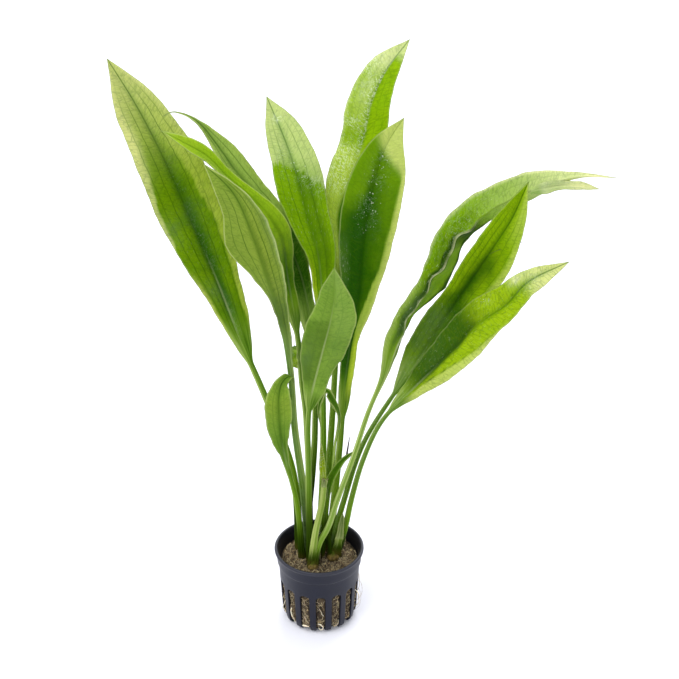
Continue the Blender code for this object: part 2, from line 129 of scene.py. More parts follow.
# Leaves
STEM_BOTTOM = 38.2
WIDTH_SHARES = (0.06, 0.18, 0.32, 0.46, 0.60, 0.74, 0.88)
BLADE_THICKNESS = 0.32
TIP_HALF_WIDTH = 0.12
BASE_SWELL = 0.25
STEM_TAPER = (1.15, 0.8)
BASE_SWELL_HEIGHT = 9.0
STEM_TO_BLADE = 0.25
EDGE_WOBBLE = 0.35
EDGE_FRILL = 0.45
VEIN_PUFF = 0.22
BLADE_CROWN = 0.06
GROOVE_DEPTH = 0.30
GROOVE_WIDTH = 0.8
MIDRIB_HEIGHT = 0.55
STEM_ABOVE = 0.34
STEM_BELOW = 0.62
STEM_RIBS = 9.0
STEM_RIB_DEPTH = 0.05
LARGE_STEPS = (56, 150, 33)
SMALL_STEPS = (24, 40, 17)
SMALL_STEM = 1.2
SMALL_TOP = 100.0

# How strongly the veins show: side veins (place across, strength), fine cross veins, net, midrib and rim,
# where the stem's dark green foot and its lower part end, and how strong the glints are
LOOKS = dict(laterals=((0.34, 0.8), (0.66, 0.6)), hatch=0.42, net=0.12, halo=0.5, rib_dark=0.85, rib_pale=0.5,
             rib_pale_to=0.45, rim=0.30, foot=48.0, low=95.0, dots=0.95, ridges=0.55)
CROSS_VEIN_STEP = 2.0
CROSS_VEIN_REACH = 5.5
VEIN_SHADE = (0.34, 0.48, 0.30, 1.0)
DRIFT_SHADE = (0.62, 0.80, 0.45, 1.0)
HALO_SHADE = (0.45, 0.62, 0.35, 1.0)
RIB_PALE = seen(190, 204, 140)
EDGE_PALE = seen(206, 214, 140)
EDGE_DARK = seen(110, 130, 70)
# Stems: painted shade in the grooves and down one side; the pale streak colour also paints the edge
# highlights
STEM_GROOVE_SHADE = (0.55, 0.66, 0.30, 1.0)
STEM_STREAK_AND_HIGHLIGHT = seen(176, 192, 110)
STEM_SHADED_SIDE = (0.52, 0.66, 0.30, 1.0)
STEM_LOW = seen(98, 134, 8)
FOOT_GREEN = seen(30, 50, 0)
FOOT_BROWN = seen(84, 74, 28)
# Painted sheen and painted glints on the damp skin
SHEEN = seen(122, 148, 96)
GLINT = seen(236, 244, 214)
LIGHT_THROUGH = (0.95, 1.0, 0.30, 1.0)
TRANSLUCENCE = 0.42
LEAF_SPECULAR = 0.03
LEAF_COAT_ROUGHNESS = 0.18

# Per leaf: the record's material slot, the skin that the camera sees if not the upper one, share of the
# length where the blade starts, half width and thickness of the stem, fold along the middle in degrees,
# height and number of the edge waves, direction that the upper face looks to at the blade's start and at its
# tip, half widths of the blade to its left and right (or both) at WIDTH_SHARES, points along the middle from
# the soil to the tip, colours (mid green, deep green that also serves as painted shade, pale skin that also
# serves as painted glare on wet and backlit parts, yellow margin, pale underside, stem), and where it departs
# from LOOKS. Some have taper (size of the stem at its foot and neck), turn_from (share of the blade where its
# face begins to turn), left_more (share and added width of the left half) or meander (how far the fold line
# swings). A flap grows on a leaf: of names it, from_soil is the run at its start
LEAVES = {
    "far_left": dict(
        slot="leaf_mid_green", blade_from=0.40, stem=(2.0, 3.0), fold=12, wave=(1.0, 3),
        face=((0.3, -0.85, 0.4), (0.3, -0.8, 0.5)), left=(3.5, 7, 12.5, 16, 17, 15, 11),
        right=(5, 10, 13, 16.4, 18.2, 14.5, 9),
        points=[(-11, 5, 39), (-14.5, 10.5, 90), (-28.5, 15, 135), (-42, 20, 170), (-53, 26, 201),
                (-66, 33, 234), (-80, 38, 269), (-91, 40, 293), (-103, 40, 316)],
        palette=((124, 160, 6), (54, 104, 2), (214, 215, 150), (186, 198, 84), (150, 168, 90),
                 (110, 142, 44)),
        looks=dict(laterals=((0.36, 0.9), (0.68, 0.75)), rib_pale_to=0.42)),
    "left_back": dict(
        slot="leaf_grey_green", blade_from=0.43, stem=(1.8, 2.8), fold=15, wave=(1.0, 3),
        face=((0.2, -0.8, 0.5), (0.3, -0.7, 0.6)), left=(4, 6.5, 9, 11, 10, 5, 1.5),
        right=(3.5, 4, 6.5, 6.5, 7.5, 7, 1.5),
        points=[(-8, 12.5, 39), (-2, 17, 112), (-3, 24, 165), (-10, 30, 205), (-23, 32, 235),
                (-33.1, 31, 249.4), (-41.3, 29.5, 261.1), (-47.3, 28, 271.6), (-52.4, 26.5, 280.2),
                (-56.4, 25, 286.7), (-60.6, 24, 291), (-65.7, 23, 294), (-70.4, 22, 295.2),
                (-74.8, 21, 293.5)],
        palette=((172, 198, 92), (54, 100, 4), (200, 210, 140), (182, 190, 80), (160, 176, 100),
                 (98, 128, 44)),
        looks=dict(laterals=((0.45, 0.8),), hatch=0.35, rib_pale=0.2, rim=0.4, foot=70.0)),
    "left_bright": dict(
        slot="leaf_bright_green", blade_from=0.49, stem=(1.8, 2.8), fold=12, wave=(0.8, 3),
        face=((0.2, -0.8, 0.5), (0.4, -0.7, 0.6)), left=(3, 6, 7.4, 7.8, 5.5, 2.6, 3.3),
        right=(3, 3.5, 4, 6.2, 4.6, 3.0, 4.2),
        points=[(-5.3, 8, 39), (-6, 9.5, 111), (-7.1, 10.4, 132.7), (-8.5, 11, 144.9), (-9.7, 12, 164.8),
                (-15, 11.5, 208), (-18.9, 9.5, 236.2), (-29.5, 9, 252.4), (-42.8, 8.5, 266.1),
                (-54.3, 7, 279.5), (-61.7, 5.5, 284.8), (-74.3, 4, 293)],
        palette=((164, 200, 34), (60, 108, 2), (196, 208, 140), (188, 198, 80), (150, 170, 90),
                 (100, 130, 44)),
        looks=dict(laterals=((0.5, 0.35),), hatch=0.3, rib_pale=0.2, halo=0.2, rib_dark=0.4, foot=74.0)),
    "left_front": dict(
        slot="leaf_pale_under", blade_from=0.54, stem=(2.0, 3.0), fold=8, wave=(1.2, 3),
        face=((0.1, 0.9, 0.1), (0.3, 0.9, -0.2)), left=(2.5, 4, 6, 9.5, 9, 8.5, 3),
        right=(1.5, 2, 2.5, 10, 16, 12.5, 8),
        points=[(-5.5, 2.2, 39), (-8.5, -4, 90), (-12, -11, 132), (-14, -18, 178), (-17, -22, 201),
                (-23, -25, 226), (-30, -27, 253), (-39, -26, 275), (-52, -22, 287)],
        palette=((138, 164, 58), (82, 116, 34), (204, 212, 176), (158, 176, 62), (146, 168, 70),
                 (108, 136, 52)),
        looks=dict(laterals=((0.38, 0.95), (0.70, 0.7)), net=0.2, halo=0.6, rib_pale=0.0, rim=0.6,
                   foot=70.0)),
    "centre_left": dict(
        slot="leaf_bright_green", blade_from=0.52, stem=(1.8, 2.6), fold=10, wave=(0.8, 3),
        face=((0.0, -0.85, 0.5), (0.1, -0.8, 0.6)), left=(3, 4.5, 6, 9.5, 12.5, 11, 7.5),
        right=(3, 6, 9.5, 11, 12.5, 12, 8.5),
        points=[(0, 3.5, 39), (2.5, 8, 100), (2.5, 13, 153), (2.5, 20, 191), (0, 24, 218), (-5, 28, 236),
                (-9, 31, 253), (-14, 35, 269), (-25, 41, 296)],
        palette=((132, 178, 2), (62, 120, 0), (208, 217, 154), (180, 202, 30), (150, 176, 80),
                 (104, 140, 34)),
        looks=dict(laterals=((0.42, 0.8), (0.72, 0.5)), hatch=0.35, halo=0.5, rib_pale=0.2, foot=30.0)),
    "top": dict(
        slot="leaf_mid_green", blade_from=0.51, stem=(1.8, 2.6), fold=10, wave=(1.0, 3),
        face=((0.0, -0.85, 0.5), (-0.3, -0.8, 0.5)), left=(3, 4.5, 5.5, 11.5, 11, 12, 8.5),
        right=(3, 5, 7.5, 10.5, 12, 11, 6.5),
        points=[(1.5, 10, 39), (7, 15, 114), (10, 24, 172), (11, 32, 214), (10, 36, 234), (19, 41, 259),
                (24, 45, 274), (27, 49, 288), (33, 55, 301), (47, 66, 317)],
        palette=((148, 183, 8), (62, 118, 2), (210, 216, 160), (192, 210, 60), (160, 184, 70),
                 (110, 142, 38)),
        looks=dict(laterals=((0.40, 0.35), (0.72, 0.35)), hatch=0.4, halo=0.3, rib_pale=0.1, foot=30.0,
                   dots=0.5, ridges=0.95)),
    "centre_right": dict(
        slot="leaf_deep_green", blade_from=0.34, stem=(2.0, 3.0), fold=14, wave=(1.0, 3),
        face=((0.1, -0.9, 0.3), (-0.1, -0.8, 0.5)), left=(2.5, 3.5, 5.5, 9.5, 12, 13.5, 9.5),
        right=(3, 4, 4.5, 8.5, 13.5, 15.5, 13),
        points=[(5.5, 5, 39), (11.5, 2, 112), (15, -5, 164), (18, -7, 189), (21, -8, 207), (23, -9, 235),
                (27, -8, 265), (34, -4, 289), (42, 0, 301)],
        palette=((112, 152, 8), (40, 94, 0), (206, 212, 126), (190, 206, 60), (140, 166, 80), (114, 144, 42)),
        looks=dict(laterals=((0.45, 0.25),), hatch=0.25, net=0.15, halo=0.2, rib_dark=0.3, rib_pale=0.1,
                   foot=24.0, ridges=0.2)),
    "front_small": dict(
        slot="leaf_pale_under", blade_from=0.54, stem=(1.7, 2.4), fold=8, wave=(0.6, 2),
        face=((0.0, -0.9, 0.4), (0.0, -0.8, 0.5)), left=(2.5, 5.5, 9, 11, 11.5, 8.5, 6.5),
        right=(3.5, 6.5, 7.5, 11, 12, 11.5, 5.5),
        points=[(-5, -5, 39), (-5, -19, 111), (-4, -27, 154), (3, -36, 193), (7, -41, 213), (9, -45, 229),
                (9, -50, 247)],
        palette=((140, 174, 66), (92, 126, 34), (190, 208, 130), (188, 200, 90), (150, 172, 90),
                 (108, 138, 50)),
        looks=dict(laterals=((0.42, 0.35),), hatch=0.42, net=0.15, halo=0.1, rib_dark=0.1, rib_pale=0.65,
                   rib_pale_to=0.9, rim=0.35, foot=74.0)),
    "curled_small": dict(
        slot="leaf_pale_under", blade_from=0.46, turn_from=0.78, stem=(1.6, 2.4), fold=6, wave=(0.5, 2),
        face=((0.0, -0.95, 0.2), (0.5, 0.8, 0.2)), left=(1.5, 2.2, 3.8, 6.2, 7.4, 6.4, 3.0),
        right=(1.5, 1.8, 2.4, 4.8, 6.6, 6.2, 3.0),
        points=[(-9.5, -1.5, 39), (-12, -12, 87), (-16.5, -20, 117), (-18.5, -24, 134), (-19.3, -26, 150),
                (-19, -26.5, 163), (-17.6, -25, 168.5), (-15, -22, 170), (-12.6, -19.8, 168.5),
                (-11.6, -19.2, 165)],
        palette=((130, 164, 58), (90, 130, 30), (188, 202, 130), (160, 180, 60), (136, 164, 70),
                 (104, 138, 34)),
        looks=dict(laterals=((0.42, 0.5),), hatch=0.35, net=0.2, halo=0.6, rib_pale=0.3, foot=42.0)),
    "arch_right": dict(
        slot="leaf_mid_green", shown="under", blade_from=0.36, meander=1.9, stem=(1.55, 2.7), fold=36,
        wave=(0.8, 4), face=((-0.58, 0.9, 0.03), (-0.15, 0.9, -0.1)), left=(2, 4.5, 13, 13, 9, 10.5, 1.2),
        right=(2, 7.7, 5.5, 11, 12.2, 10.4, 3.2),
        left_more=((0.27, 0), (0.33, 9), (0.37, 12), (0.41, 9), (0.46, 2), (0.50, 0)),
        points=[(-2.6, -9.5, 40), (0.3, -8.6, 55), (4.5, -7.5, 63.5), (10.0, -7.8, 83), (18.8, -5, 110),
                (28, 2, 138), (36, 7, 156), (43, 14, 172), (50, 20, 186), (59, 24, 199), (66, 28, 209),
                (73, 31, 221), (82, 35, 229), (95, 39, 237), (111, 43, 243.6), (132, 48, 248.4),
                (156.6, 54, 246)],
        palette=((140, 180, 4), (40, 78, 0), (244, 240, 204), (168, 192, 70), (126, 162, 24),
                 (170, 186, 118)),
        looks=dict(laterals=((0.5, 0.35),), halo=0.0, rib_dark=0.0, rib_pale=0.2, rib_pale_to=0.2,
                   foot=16.0, low=40.0)),
    "right_mid": dict(
        slot="leaf_mid_green", blade_from=0.43, stem=(1.5, 2.5), fold=16, wave=(1.0, 3),
        face=((-0.2, -0.8, 0.6), (-0.2, -0.8, 0.6)), left=(4, 9.2, 10.2, 9, 9, 9, 6.4),
        right=(3, 6, 9.5, 12.5, 15, 14.2, 6.8),
        points=[(6.1, -1.5, 40), (9.3, 1.2, 56.4), (14.1, 3, 76), (24.3, 7, 110), (39, 9, 138),
                (52, 10, 159), (64, 11, 181), (78, 12, 206), (90, 10, 229), (97, 9, 243), (104.3, 8, 264.4)],
        palette=((142, 176, 6), (52, 100, 2), (206, 212, 122), (174, 200, 40), (150, 170, 80),
                 (108, 138, 52)),
        looks=dict(laterals=((0.40, 0.7), (0.70, 0.6)), hatch=0.42, halo=0.6, rib_pale=0.25,
                   rib_pale_to=0.3, foot=22.0, low=70.0)),
    "right_low": dict(
        slot="leaf_bright_green", blade_from=0.43, stem=(1.5, 2.5), fold=14, wave=(0.8, 3),
        face=((-0.2, -0.8, 0.6), (-0.1, -0.7, 0.7)), left=(3, 6, 9, 11, 11.2, 9, 4.4),
        right=(2.2, 6, 10, 12, 10.8, 7.4, 6.6),
        points=[(10, 0.5, 40), (14.3, 1, 56.8), (17.8, -1, 78), (24, -3, 106), (34, -8, 135),
                (49.5, -14, 158.5), (69.6, -21.5, 187.2), (80.6, -26, 203.8), (92.4, -31, 217),
                (100.5, -35, 230.5), (119, -42, 246)],
        palette=((160, 190, 6), (62, 104, 2), (222, 221, 164), (196, 210, 70), (156, 176, 80),
                 (120, 148, 70)),
        looks=dict(laterals=((0.80, 0.2),), hatch=0.5, net=0.1, halo=0.6, rib_dark=0.9, rib_pale=0.4,
                   rib_pale_to=0.35, rim=0.15, foot=22.0, low=70.0)),
    "kinked_young": dict(
        slot="leaf_mid_green", blade_from=0.55, stem=(1.4, 1.5), fold=10, wave=(0.2, 2),
        face=((1.0, -0.3, 0.5), (-1.0, -0.3, 0.5)), both=(1.5, 1.7, 1.9, 2.1, 1.9, 1.5, 1.2),
        points=[(2.2, -0.7, 39), (5.7, -2, 81), (8.1, -4, 103), (9.3, -5.5, 118.9), (10.6, -6.4, 129),
                (10.8, -7.6, 138.6), (8.1, -9.3, 147.2), (3.9, -11.5, 154.7), (1.8, -13, 150.2),
                (1.7, -14.5, 131.9)],
        palette=((128, 168, 44), (80, 124, 16), (190, 204, 120), (170, 192, 70), (140, 170, 70),
                 (108, 144, 28)),
        looks=dict(rim=0.6, halo=0.7)),
    "bud": dict(
        slot="bud_yellow", blade_from=0.66, stem=(0.8, 1.2), fold=20, wave=(0.7, 4),
        face=((0.0, -0.9, 0.3), (0.0, -0.9, 0.3)), both=(1.1, 1.5, 1.8, 1.9, 1.7, 1.3, 0.8),
        points=[(-1.3, -3.2, 39), (1.8, -7, 80), (2.8, -12, 103.4), (2.2, -14, 114.6), (1.9, -15, 121.6),
                (1.7, -15.6, 126)],
        palette=((176, 204, 16), (104, 140, 10), (216, 222, 110), (186, 200, 30), (166, 186, 60),
                 (112, 146, 44)),
        looks=dict(hatch=0.5, net=0.3, rib_dark=0.4, halo=0.2, foot=30.0)),
    "short_young": dict(
        slot="leaf_mid_green", blade_from=0.50, stem=(0.9, 1.5), fold=15, wave=(0.3, 2),
        face=((-0.3, -0.8, 0.5), (-0.3, -0.8, 0.5)), both=(1.2, 1.8, 2.3, 2.6, 2.3, 1.8, 1.2),
        points=[(6.3, -2.2, 39), (5.5, -4, 58), (4.6, -6.5, 80), (7.2, -8, 98), (13, -5.5, 107.5),
                (19.8, -2, 111.5)],
        palette=((110, 154, 26), (66, 108, 10), (190, 204, 120), (150, 180, 50), (130, 160, 60),
                 (104, 144, 34))),
    "cut_stub": dict(
        slot="stub_pale", blade_from=0.90, taper=(1.15, 0.9), stem=(1.7, 2.4), fold=10, wave=(0.0, 1),
        face=((0.0, -1.0, 0.2), (0.0, -1.0, 0.2)), both=(1.6, 1.6, 1.6, 1.6, 1.6, 1.6, 1.5),
        points=[(-4.4, -10.4, 40), (-1.4, -10.8, 65.6), (2.2, -11.8, 85.9), (3.5, -12.4, 100.5)],
        palette=((176, 184, 112), (120, 132, 62), (208, 206, 156), (190, 180, 104), (176, 184, 112),
                 (166, 178, 104)),
        looks=dict(foot=15.0, low=14.0)),
    "sheath": dict(
        slot="stub_pale", blade_from=0.30, stem=(2.4, 1.8), fold=20, wave=(0.2, 1),
        face=((0.2, -1.0, 0.2), (0.2, -1.0, 0.2)), both=(2.4, 2.3, 2.1, 1.9, 1.6, 1.3, 0.9),
        points=[(9.2, -1.8, 42), (10.6, -2, 49.4), (12, -2.1, 59.8), (13.1, -2.2, 70.4)],
        palette=((170, 182, 108), (110, 126, 56), (204, 206, 150), (186, 180, 104), (170, 182, 108),
                 (150, 166, 92)),
        looks=dict(foot=12.0, low=12.0)),
}

FLAPS = {
    "arch_flap": dict(
        of="arch_right", from_soil=300.0, blade_from=0.02, stem=(1.4, 0.6), fold=6, wave=(0.2, 1),
        face=((0.1, -0.85, 0.5), (0.1, -0.85, 0.5)), left=(2.2, 3.4, 3.2, 2.8, 2.4, 1.9, 1.1),
        right=(2.2, 3.0, 2.6, 2.4, 2.2, 1.8, 1.0),
        points=[(110.4, 42.5, 243), (117.7, 43, 244.8), (125.7, 45, 245.4), (136.8, 49, 243.6),
                (148, 53, 239.8)]),
    "left_flap": dict(
        of="left_bright", from_soil=150.0, blade_from=0.02, stem=(0.8, 0.5), fold=8, wave=(0.6, 3),
        face=((0.1, -0.9, 0.4), (0.1, -0.9, 0.4)), both=(1.6, 2.2, 2.4, 2.5, 2.4, 2.0, 1.2),
        points=[(-11.7, 10, 169.6), (-12.9, 9.4, 166.9), (-13.2, 9, 163.5), (-12.5, 9, 159.8),
                (-10.8, 9.4, 156.2)]),
}

# Crowns: middle, half sizes across and deep, height above the wool
CROWN_COLUMNS = 48
CROWN_ROWS = 30
CROWN_FOLDS = 9.0
CROWN_FOLD_DEPTH = 0.045
CROWNS = {
    "crown_front": dict(middle=(-3.4, -11.0), radii=(2.9, 2.7), height=5.8),
    "crown_right": dict(middle=(7.6, -2.4), radii=(3.5, 2.9), height=6.0),
}

# Roots: angle of the slot, then reach from the middle, height and sideways shift of the points, and radius
ROOT_PATHS = [
    (74.5, [(20.8, 20.5, -1.4), (22.6, 19.5, -1.8), (23.0, 14.0, 0.5), (22.4, 8.0, 1.6), (20.9, 6.5, 1.2)],
     0.30),
    (-45.5, [(20.3, 13.6, -1.5), (21.3, 11.2, -0.9), (21.5, 7.8, 0.5), (20.6, 4.0, 1.9)], 0.34),
    (-21.5, [(20.3, 3.8, -1.7), (21.5, 4.9, -0.5), (21.5, 5.2, 0.9), (20.5, 4.3, 1.9)], 0.60),
    (-21.5, [(20.4, 6.4, 1.6), (21.3, 8.3, 1.0), (21.1, 10.6, -0.3), (20.3, 11.4, -1.2)], 0.22),
    (2.5, [(20.4, 6.6, -1.5), (21.5, 7.0, -0.3), (21.8, 5.8, 1.2), (21.7, 4.0, 1.1), (21.4, 3.2, -0.2),
           (20.5, 3.9, -1.3)], 0.34),
    (2.5, [(20.3, 12.0, 1.6), (21.4, 14.0, 0.9), (21.3, 16.4, 0.2), (20.4, 17.6, -0.8)], 0.20),
    (-69.5, [(20.4, 4.2, 0.0), (21.5, 7.2, -0.9), (21.5, 11.4, 0.7), (20.5, 14.4, 1.3)], 0.30),
    (26.5, [(20.4, 3.6, -1.2), (21.4, 4.6, 0.2), (21.4, 6.0, 1.3), (20.4, 7.4, 1.9)], 0.26),
    (98.5, [(20.5, 24.0, 0.8), (22.2, 23.4, 1.4), (22.8, 18.6, -0.3), (22.0, 13.0, -1.4), (20.6, 11.6, -1.0)],
     0.24),
    (146.5, [(20.4, 5.0, -1.0), (21.5, 8.4, 0.3), (21.6, 12.8, 1.2), (20.6, 16.0, 0.4)], 0.30),
    (-165.5, [(20.4, 4.4, 1.4), (21.5, 6.9, 0.1), (21.4, 10.0, -1.2), (20.5, 12.2, -1.6)], 0.34),
    (-117.5, [(20.4, 6.0, -1.5), (21.6, 9.0, -0.4), (21.6, 13.4, 0.6), (20.6, 17.2, 1.4)], 0.28),
]
ROOT_STEPS = 26
ROOT_SWING = 0.12
ROOT_HAIRS = 170
HAIR_LENGTH = (1.5, 4.5)
HAIR_REACH = 19.0
HAIRY_SLOTS = (0, 0, 14, 14, 14, 13, 13, 13, 12, 1, 2, 3, 4, 6, 8, 9, 11)

# Single hairs and dry threads: points, radius, shade from dark to light
LOOSE_HAIRS = [
    ([(-32.2, -14.0, 13.5), (-29.6, -14.4, 15.2), (-26.8, -13.8, 18.2), (-23.2, -11.6, 20.6),
      (-20.0, -9.2, 21.6)], 0.10, 0.25),
    ([(20.2, -5.0, 24.8), (22.6, -6.6, 26.4), (24.2, -7.0, 21.6), (22.9, -6.6, 14.6), (20.4, -5.6, 11.0)],
     0.12, 0.5),
    ([(19.4, -8.6, 22.0), (21.8, -9.8, 23.6), (23.4, -9.6, 18.0), (21.2, -9.4, 9.0), (19.0, -8.0, 7.0)],
     0.09, 0.35),
]
BITS = [
    ([(104.9, 6.6, 232.2), (99.5, 6.4, 231.4), (93.0, 6.2, 228.6), (86.7, 6.4, 225.4)], 0.13, -0.6),
    ([(15.2, -2.4, 108.4), (15.7, -2.6, 112.4), (16.3, -2.4, 116.8), (16.8, -2.0, 120.4)], 0.55, -0.5),
]

# Frayed end of the cut stub, and dry scraps round the stems
STUB_TOP = (3.5, -12.4, 100.0)
FRAY_THREADS = 16
FRAY_LENGTH = (0.8, 2.2)
SCRAPS = 46
SCRAP_LENGTH = (1.5, 4.0)
SCRAP_RING = (9.0, 19.5)

# Studio. Lights: name, place, size, power
FLOOR_COLOUR = (0.69, 0.69, 0.73, 1.0)
WORLD_COLOUR = (0.93, 0.95, 1.0, 1.0)
WORLD_STRENGTH = 1.3
LIGHT_AIM = (0.0, 0.0, 0.16)
LIGHTS = [("key", (-0.6, -0.5, 1.4), 1.2, 16.0), ("behind", (0.3, 0.9, 1.1), 1.0, 13.0)]


def give(tree, socket, value):
    """Links a node's value to a socket, or sets a plain number or colour on it."""
    if isinstance(value, Value):
        tree.links.new(value.socket, socket)
    else:
        socket.default_value = value


class Value:
    """What a node of a material gives out; plain maths with it adds the nodes that work it out."""

    def __init__(self, tree, socket):
        self.tree = tree
        self.socket = socket

    def add(self, kind, inputs, output=0, **settings):
        """A new node with its settings, and what its inputs take by place or name."""
        node = self.tree.nodes.new("ShaderNode" + kind)
        for key, setting in settings.items():
            setattr(node, key, setting)
        for key, value in inputs.items():
            give(self.tree, node.inputs[key], value)
        return Value(self.tree, node.outputs[output])

    def math(self, operation, first, second=0.0):
        return self.add("Math", {0: first, 1: second}, operation=operation)

    def __add__(self, other):
        return self.math("ADD", self, other)

    def __sub__(self, other):
        return self.math("SUBTRACT", self, other)

    def __rsub__(self, other):
        return self.math("SUBTRACT", other, self)

    def __mul__(self, other):
        return self.math("MULTIPLY", self, other)

    def __truediv__(self, other):
        return self.math("DIVIDE", self, other)

    def __abs__(self):
        return self.math("ABSOLUTE", self)

    def larger(self, other):
        return self.math("MAXIMUM", self, other)

    def noise(self, size, detail=2.0, roughness=0.5):
        """Soft noise at this place, with patches of about a size."""
        inputs = {"Vector": self, "Scale": 1.0 / size, "Detail": detail, "Roughness": roughness}
        return self.add("TexNoise", inputs, "Fac")

    def cells(self, size, feature="F1"):
        """Distance to the middle or the edge of irregular cells at this place."""
        return self.add("TexVoronoi", {"Vector": self, "Scale": 1.0 / size}, "Distance", feature=feature)

    def mix(self, first, second):
        """First colour where this amount is 0, second where it is 1."""
        return self.add("Mix", {0: self, 6: first, 7: second}, 2, data_type="RGBA")

    def tinted(self, shade):
        """This colour multiplied by another."""
        return self.add("Mix", {0: 1.0, 6: self, 7: shade}, 2, data_type="RGBA", blend_type="MULTIPLY")

    def darker(self, shade, amount):
        """This colour, multiplied by another as far as the amount says."""
        return amount.mix(self, self.tinted(shade))

    def bump(self, strength):
        """Normal of a surface with this relief in millimetres."""
        return self.add("Bump", {"Strength": strength, "Distance": MM, "Height": self}, "Normal")


def joined(x, y):
    """A flat place made of two values."""
    return x.add("CombineXYZ", {0: x, 1: y})


class Sheet:
    """One material, what its points carry, and its shader."""

    def __init__(self, name):
        self.material = bpy.data.materials.new(name)
        self.material.use_nodes = True
        self.tree = self.material.node_tree
        self.shader = self.tree.nodes["Principled BSDF"]
        self.start = Value(self.tree, None)

    def parts(self, name):
        """The three numbers of a vector that the mesh carries."""
        carried = self.start.add("Attribute", {}, "Vector", attribute_name=name)
        split = carried.add("SeparateXYZ", {0: carried}).socket.node
        return [Value(self.tree, output) for output in split.outputs]

    def place(self):
        """Place on the object in millimetres."""
        place = self.start.add("TexCoord", {}, "Object")
        return place.add("VectorMath", {0: place, "Scale": 1.0 / MM}, operation="SCALE")

    def skin(self, colour, rough, relief, strength, specular=None):
        """Sets colour, roughness and relief in millimetres, and gives back the normal."""
        normal = relief.bump(strength)
        for key, value in (("Base Color", colour), ("Roughness", rough), ("Normal", normal)):
            give(self.tree, self.shader.inputs[key], value)
        if specular is not None:
            self.shader.inputs["Specular IOR Level"].default_value = specular
        return normal


def rise(value, low, high):
    """0 at low, 1 at high and smooth between, for numbers and for node values; low may be above high."""
    if isinstance(value, Value):
        low, high, at_low, at_high = (low, high, 0.0, 1.0) if low < high else (high, low, 1.0, 0.0)
        return value.add("MapRange", {0: value, 1: low, 2: high, 3: at_low, 4: at_high}, "Result",
                         interpolation_type="SMOOTHSTEP")
    value = np.clip((np.asarray(value, float) - low) / (high - low), 0.0, 1.0)
    return value * value * (3.0 - 2.0 * value)


def unit(vectors):
    vectors = np.asarray(vectors, float)
    return vectors / np.linalg.norm(vectors, axis=-1, keepdims=True)


def on_circle(radius, turn, height):
    """Point at a radius and a turn round the pot, from the front to the right."""
    return (radius * math.sin(turn), -radius * math.cos(turn), height)


def hermite(t, start, end, start_slope, end_slope):
    """Smooth way from start to end with the given slopes, for t from 0 to 1."""
    return ((2 * t**3 - 3 * t**2 + 1) * start + (t**3 - 2 * t**2 + t) * start_slope
            + (-2 * t**3 + 3 * t**2) * end + (t**3 - t**2) * end_slope)


def curve_through(points, shares):
    """Points and directions at shares of the length of a smooth curve through the given points."""
    points = np.asarray(points, float)
    chord = np.linalg.norm(np.diff(points, axis=0), axis=1)
    knots = np.concatenate([[0.0], np.cumsum(chord)])
    slopes = np.diff(points, axis=0) / chord[:, None]
    before = chord[:-1, None]
    after = chord[1:, None]
    inner = (slopes[:-1] * after + slopes[1:] * before) / (before + after)
    tangents = np.concatenate([slopes[:1], inner, slopes[-1:]])
    places = np.linspace(0.0, knots[-1], 40 * len(chord) + 1)
    index = np.clip(np.searchsorted(knots, places, side="right") - 1, 0, len(chord) - 1)
    length = chord[index][:, None]
    t = ((places - knots[index]) / chord[index])[:, None]
    dense = hermite(t, points[index], points[index + 1],
                    length * tangents[index], length * tangents[index + 1])
    run = np.concatenate([[0.0], np.cumsum(np.linalg.norm(np.diff(dense, axis=0), axis=1))])
    wanted = np.asarray(shares) * run[-1]

    def at(distance):
        return np.stack([np.interp(distance, run, axis) for axis in dense.T], axis=-1)

    step = run[-1] * 0.012
    ahead = at(np.minimum(wanted + step, run[-1]))
    behind = at(np.maximum(wanted - step, 0.0))
    return at(wanted), unit(ahead - behind), run[-1]


def half_width(values, share, stem_half):
    """Half width of a blade at a share of its own length."""
    places = np.array((0.0, *WIDTH_SHARES, 1.0))
    widths = np.array((stem_half, *values, TIP_HALF_WIDTH), float)
    slope = np.gradient(widths, places)
    slope[0] = 0.0
    index = np.clip(np.searchsorted(places, share, side="right") - 1, 0, len(places) - 2)
    gap = places[index + 1] - places[index]
    t = (share - places[index]) / gap
    return hermite(t, widths[index], widths[index + 1], gap * slope[index], gap * slope[index + 1])


def wobble(run, seed, lengths=(31.0, 13.0, 6.1), heights=(1.0, 0.5, 0.28)):
    """Slow irregular swing along a length in millimetres, between about -1 and 1."""
    turn = random.Random(seed)
    total = 0.0
    for length, height in zip(lengths, heights):
        total = total + height * np.sin(2.0 * math.pi * (run / length + turn.random()))
    return total / sum(heights)


def skin_lift(place, width, blade, run, wave, seed):
    """How far edge waves, frill, puffs between veins and the bulge of each half lift a line along a blade."""
    wave_height, wave_count = wave
    left = place < 0
    shift = 2.0 if left else 0.0
    ripple = wave_height * place * place * np.sin(2.0 * math.pi * wave_count * blade + shift)
    frill = EDGE_FRILL * place**4 * wobble(run, seed + 7 + int(left), (14.0, 8.3), (1.0, 0.5))
    puff = VEIN_PUFF * abs(math.sin(3.0 * math.pi * place)) * min(1.0, 6.0 * (1.0 - abs(place)))
    crown = BLADE_CROWN * width * math.sin(math.pi * abs(place))
    return (ripple + frill + puff + crown) * (1.0 - blade**6)


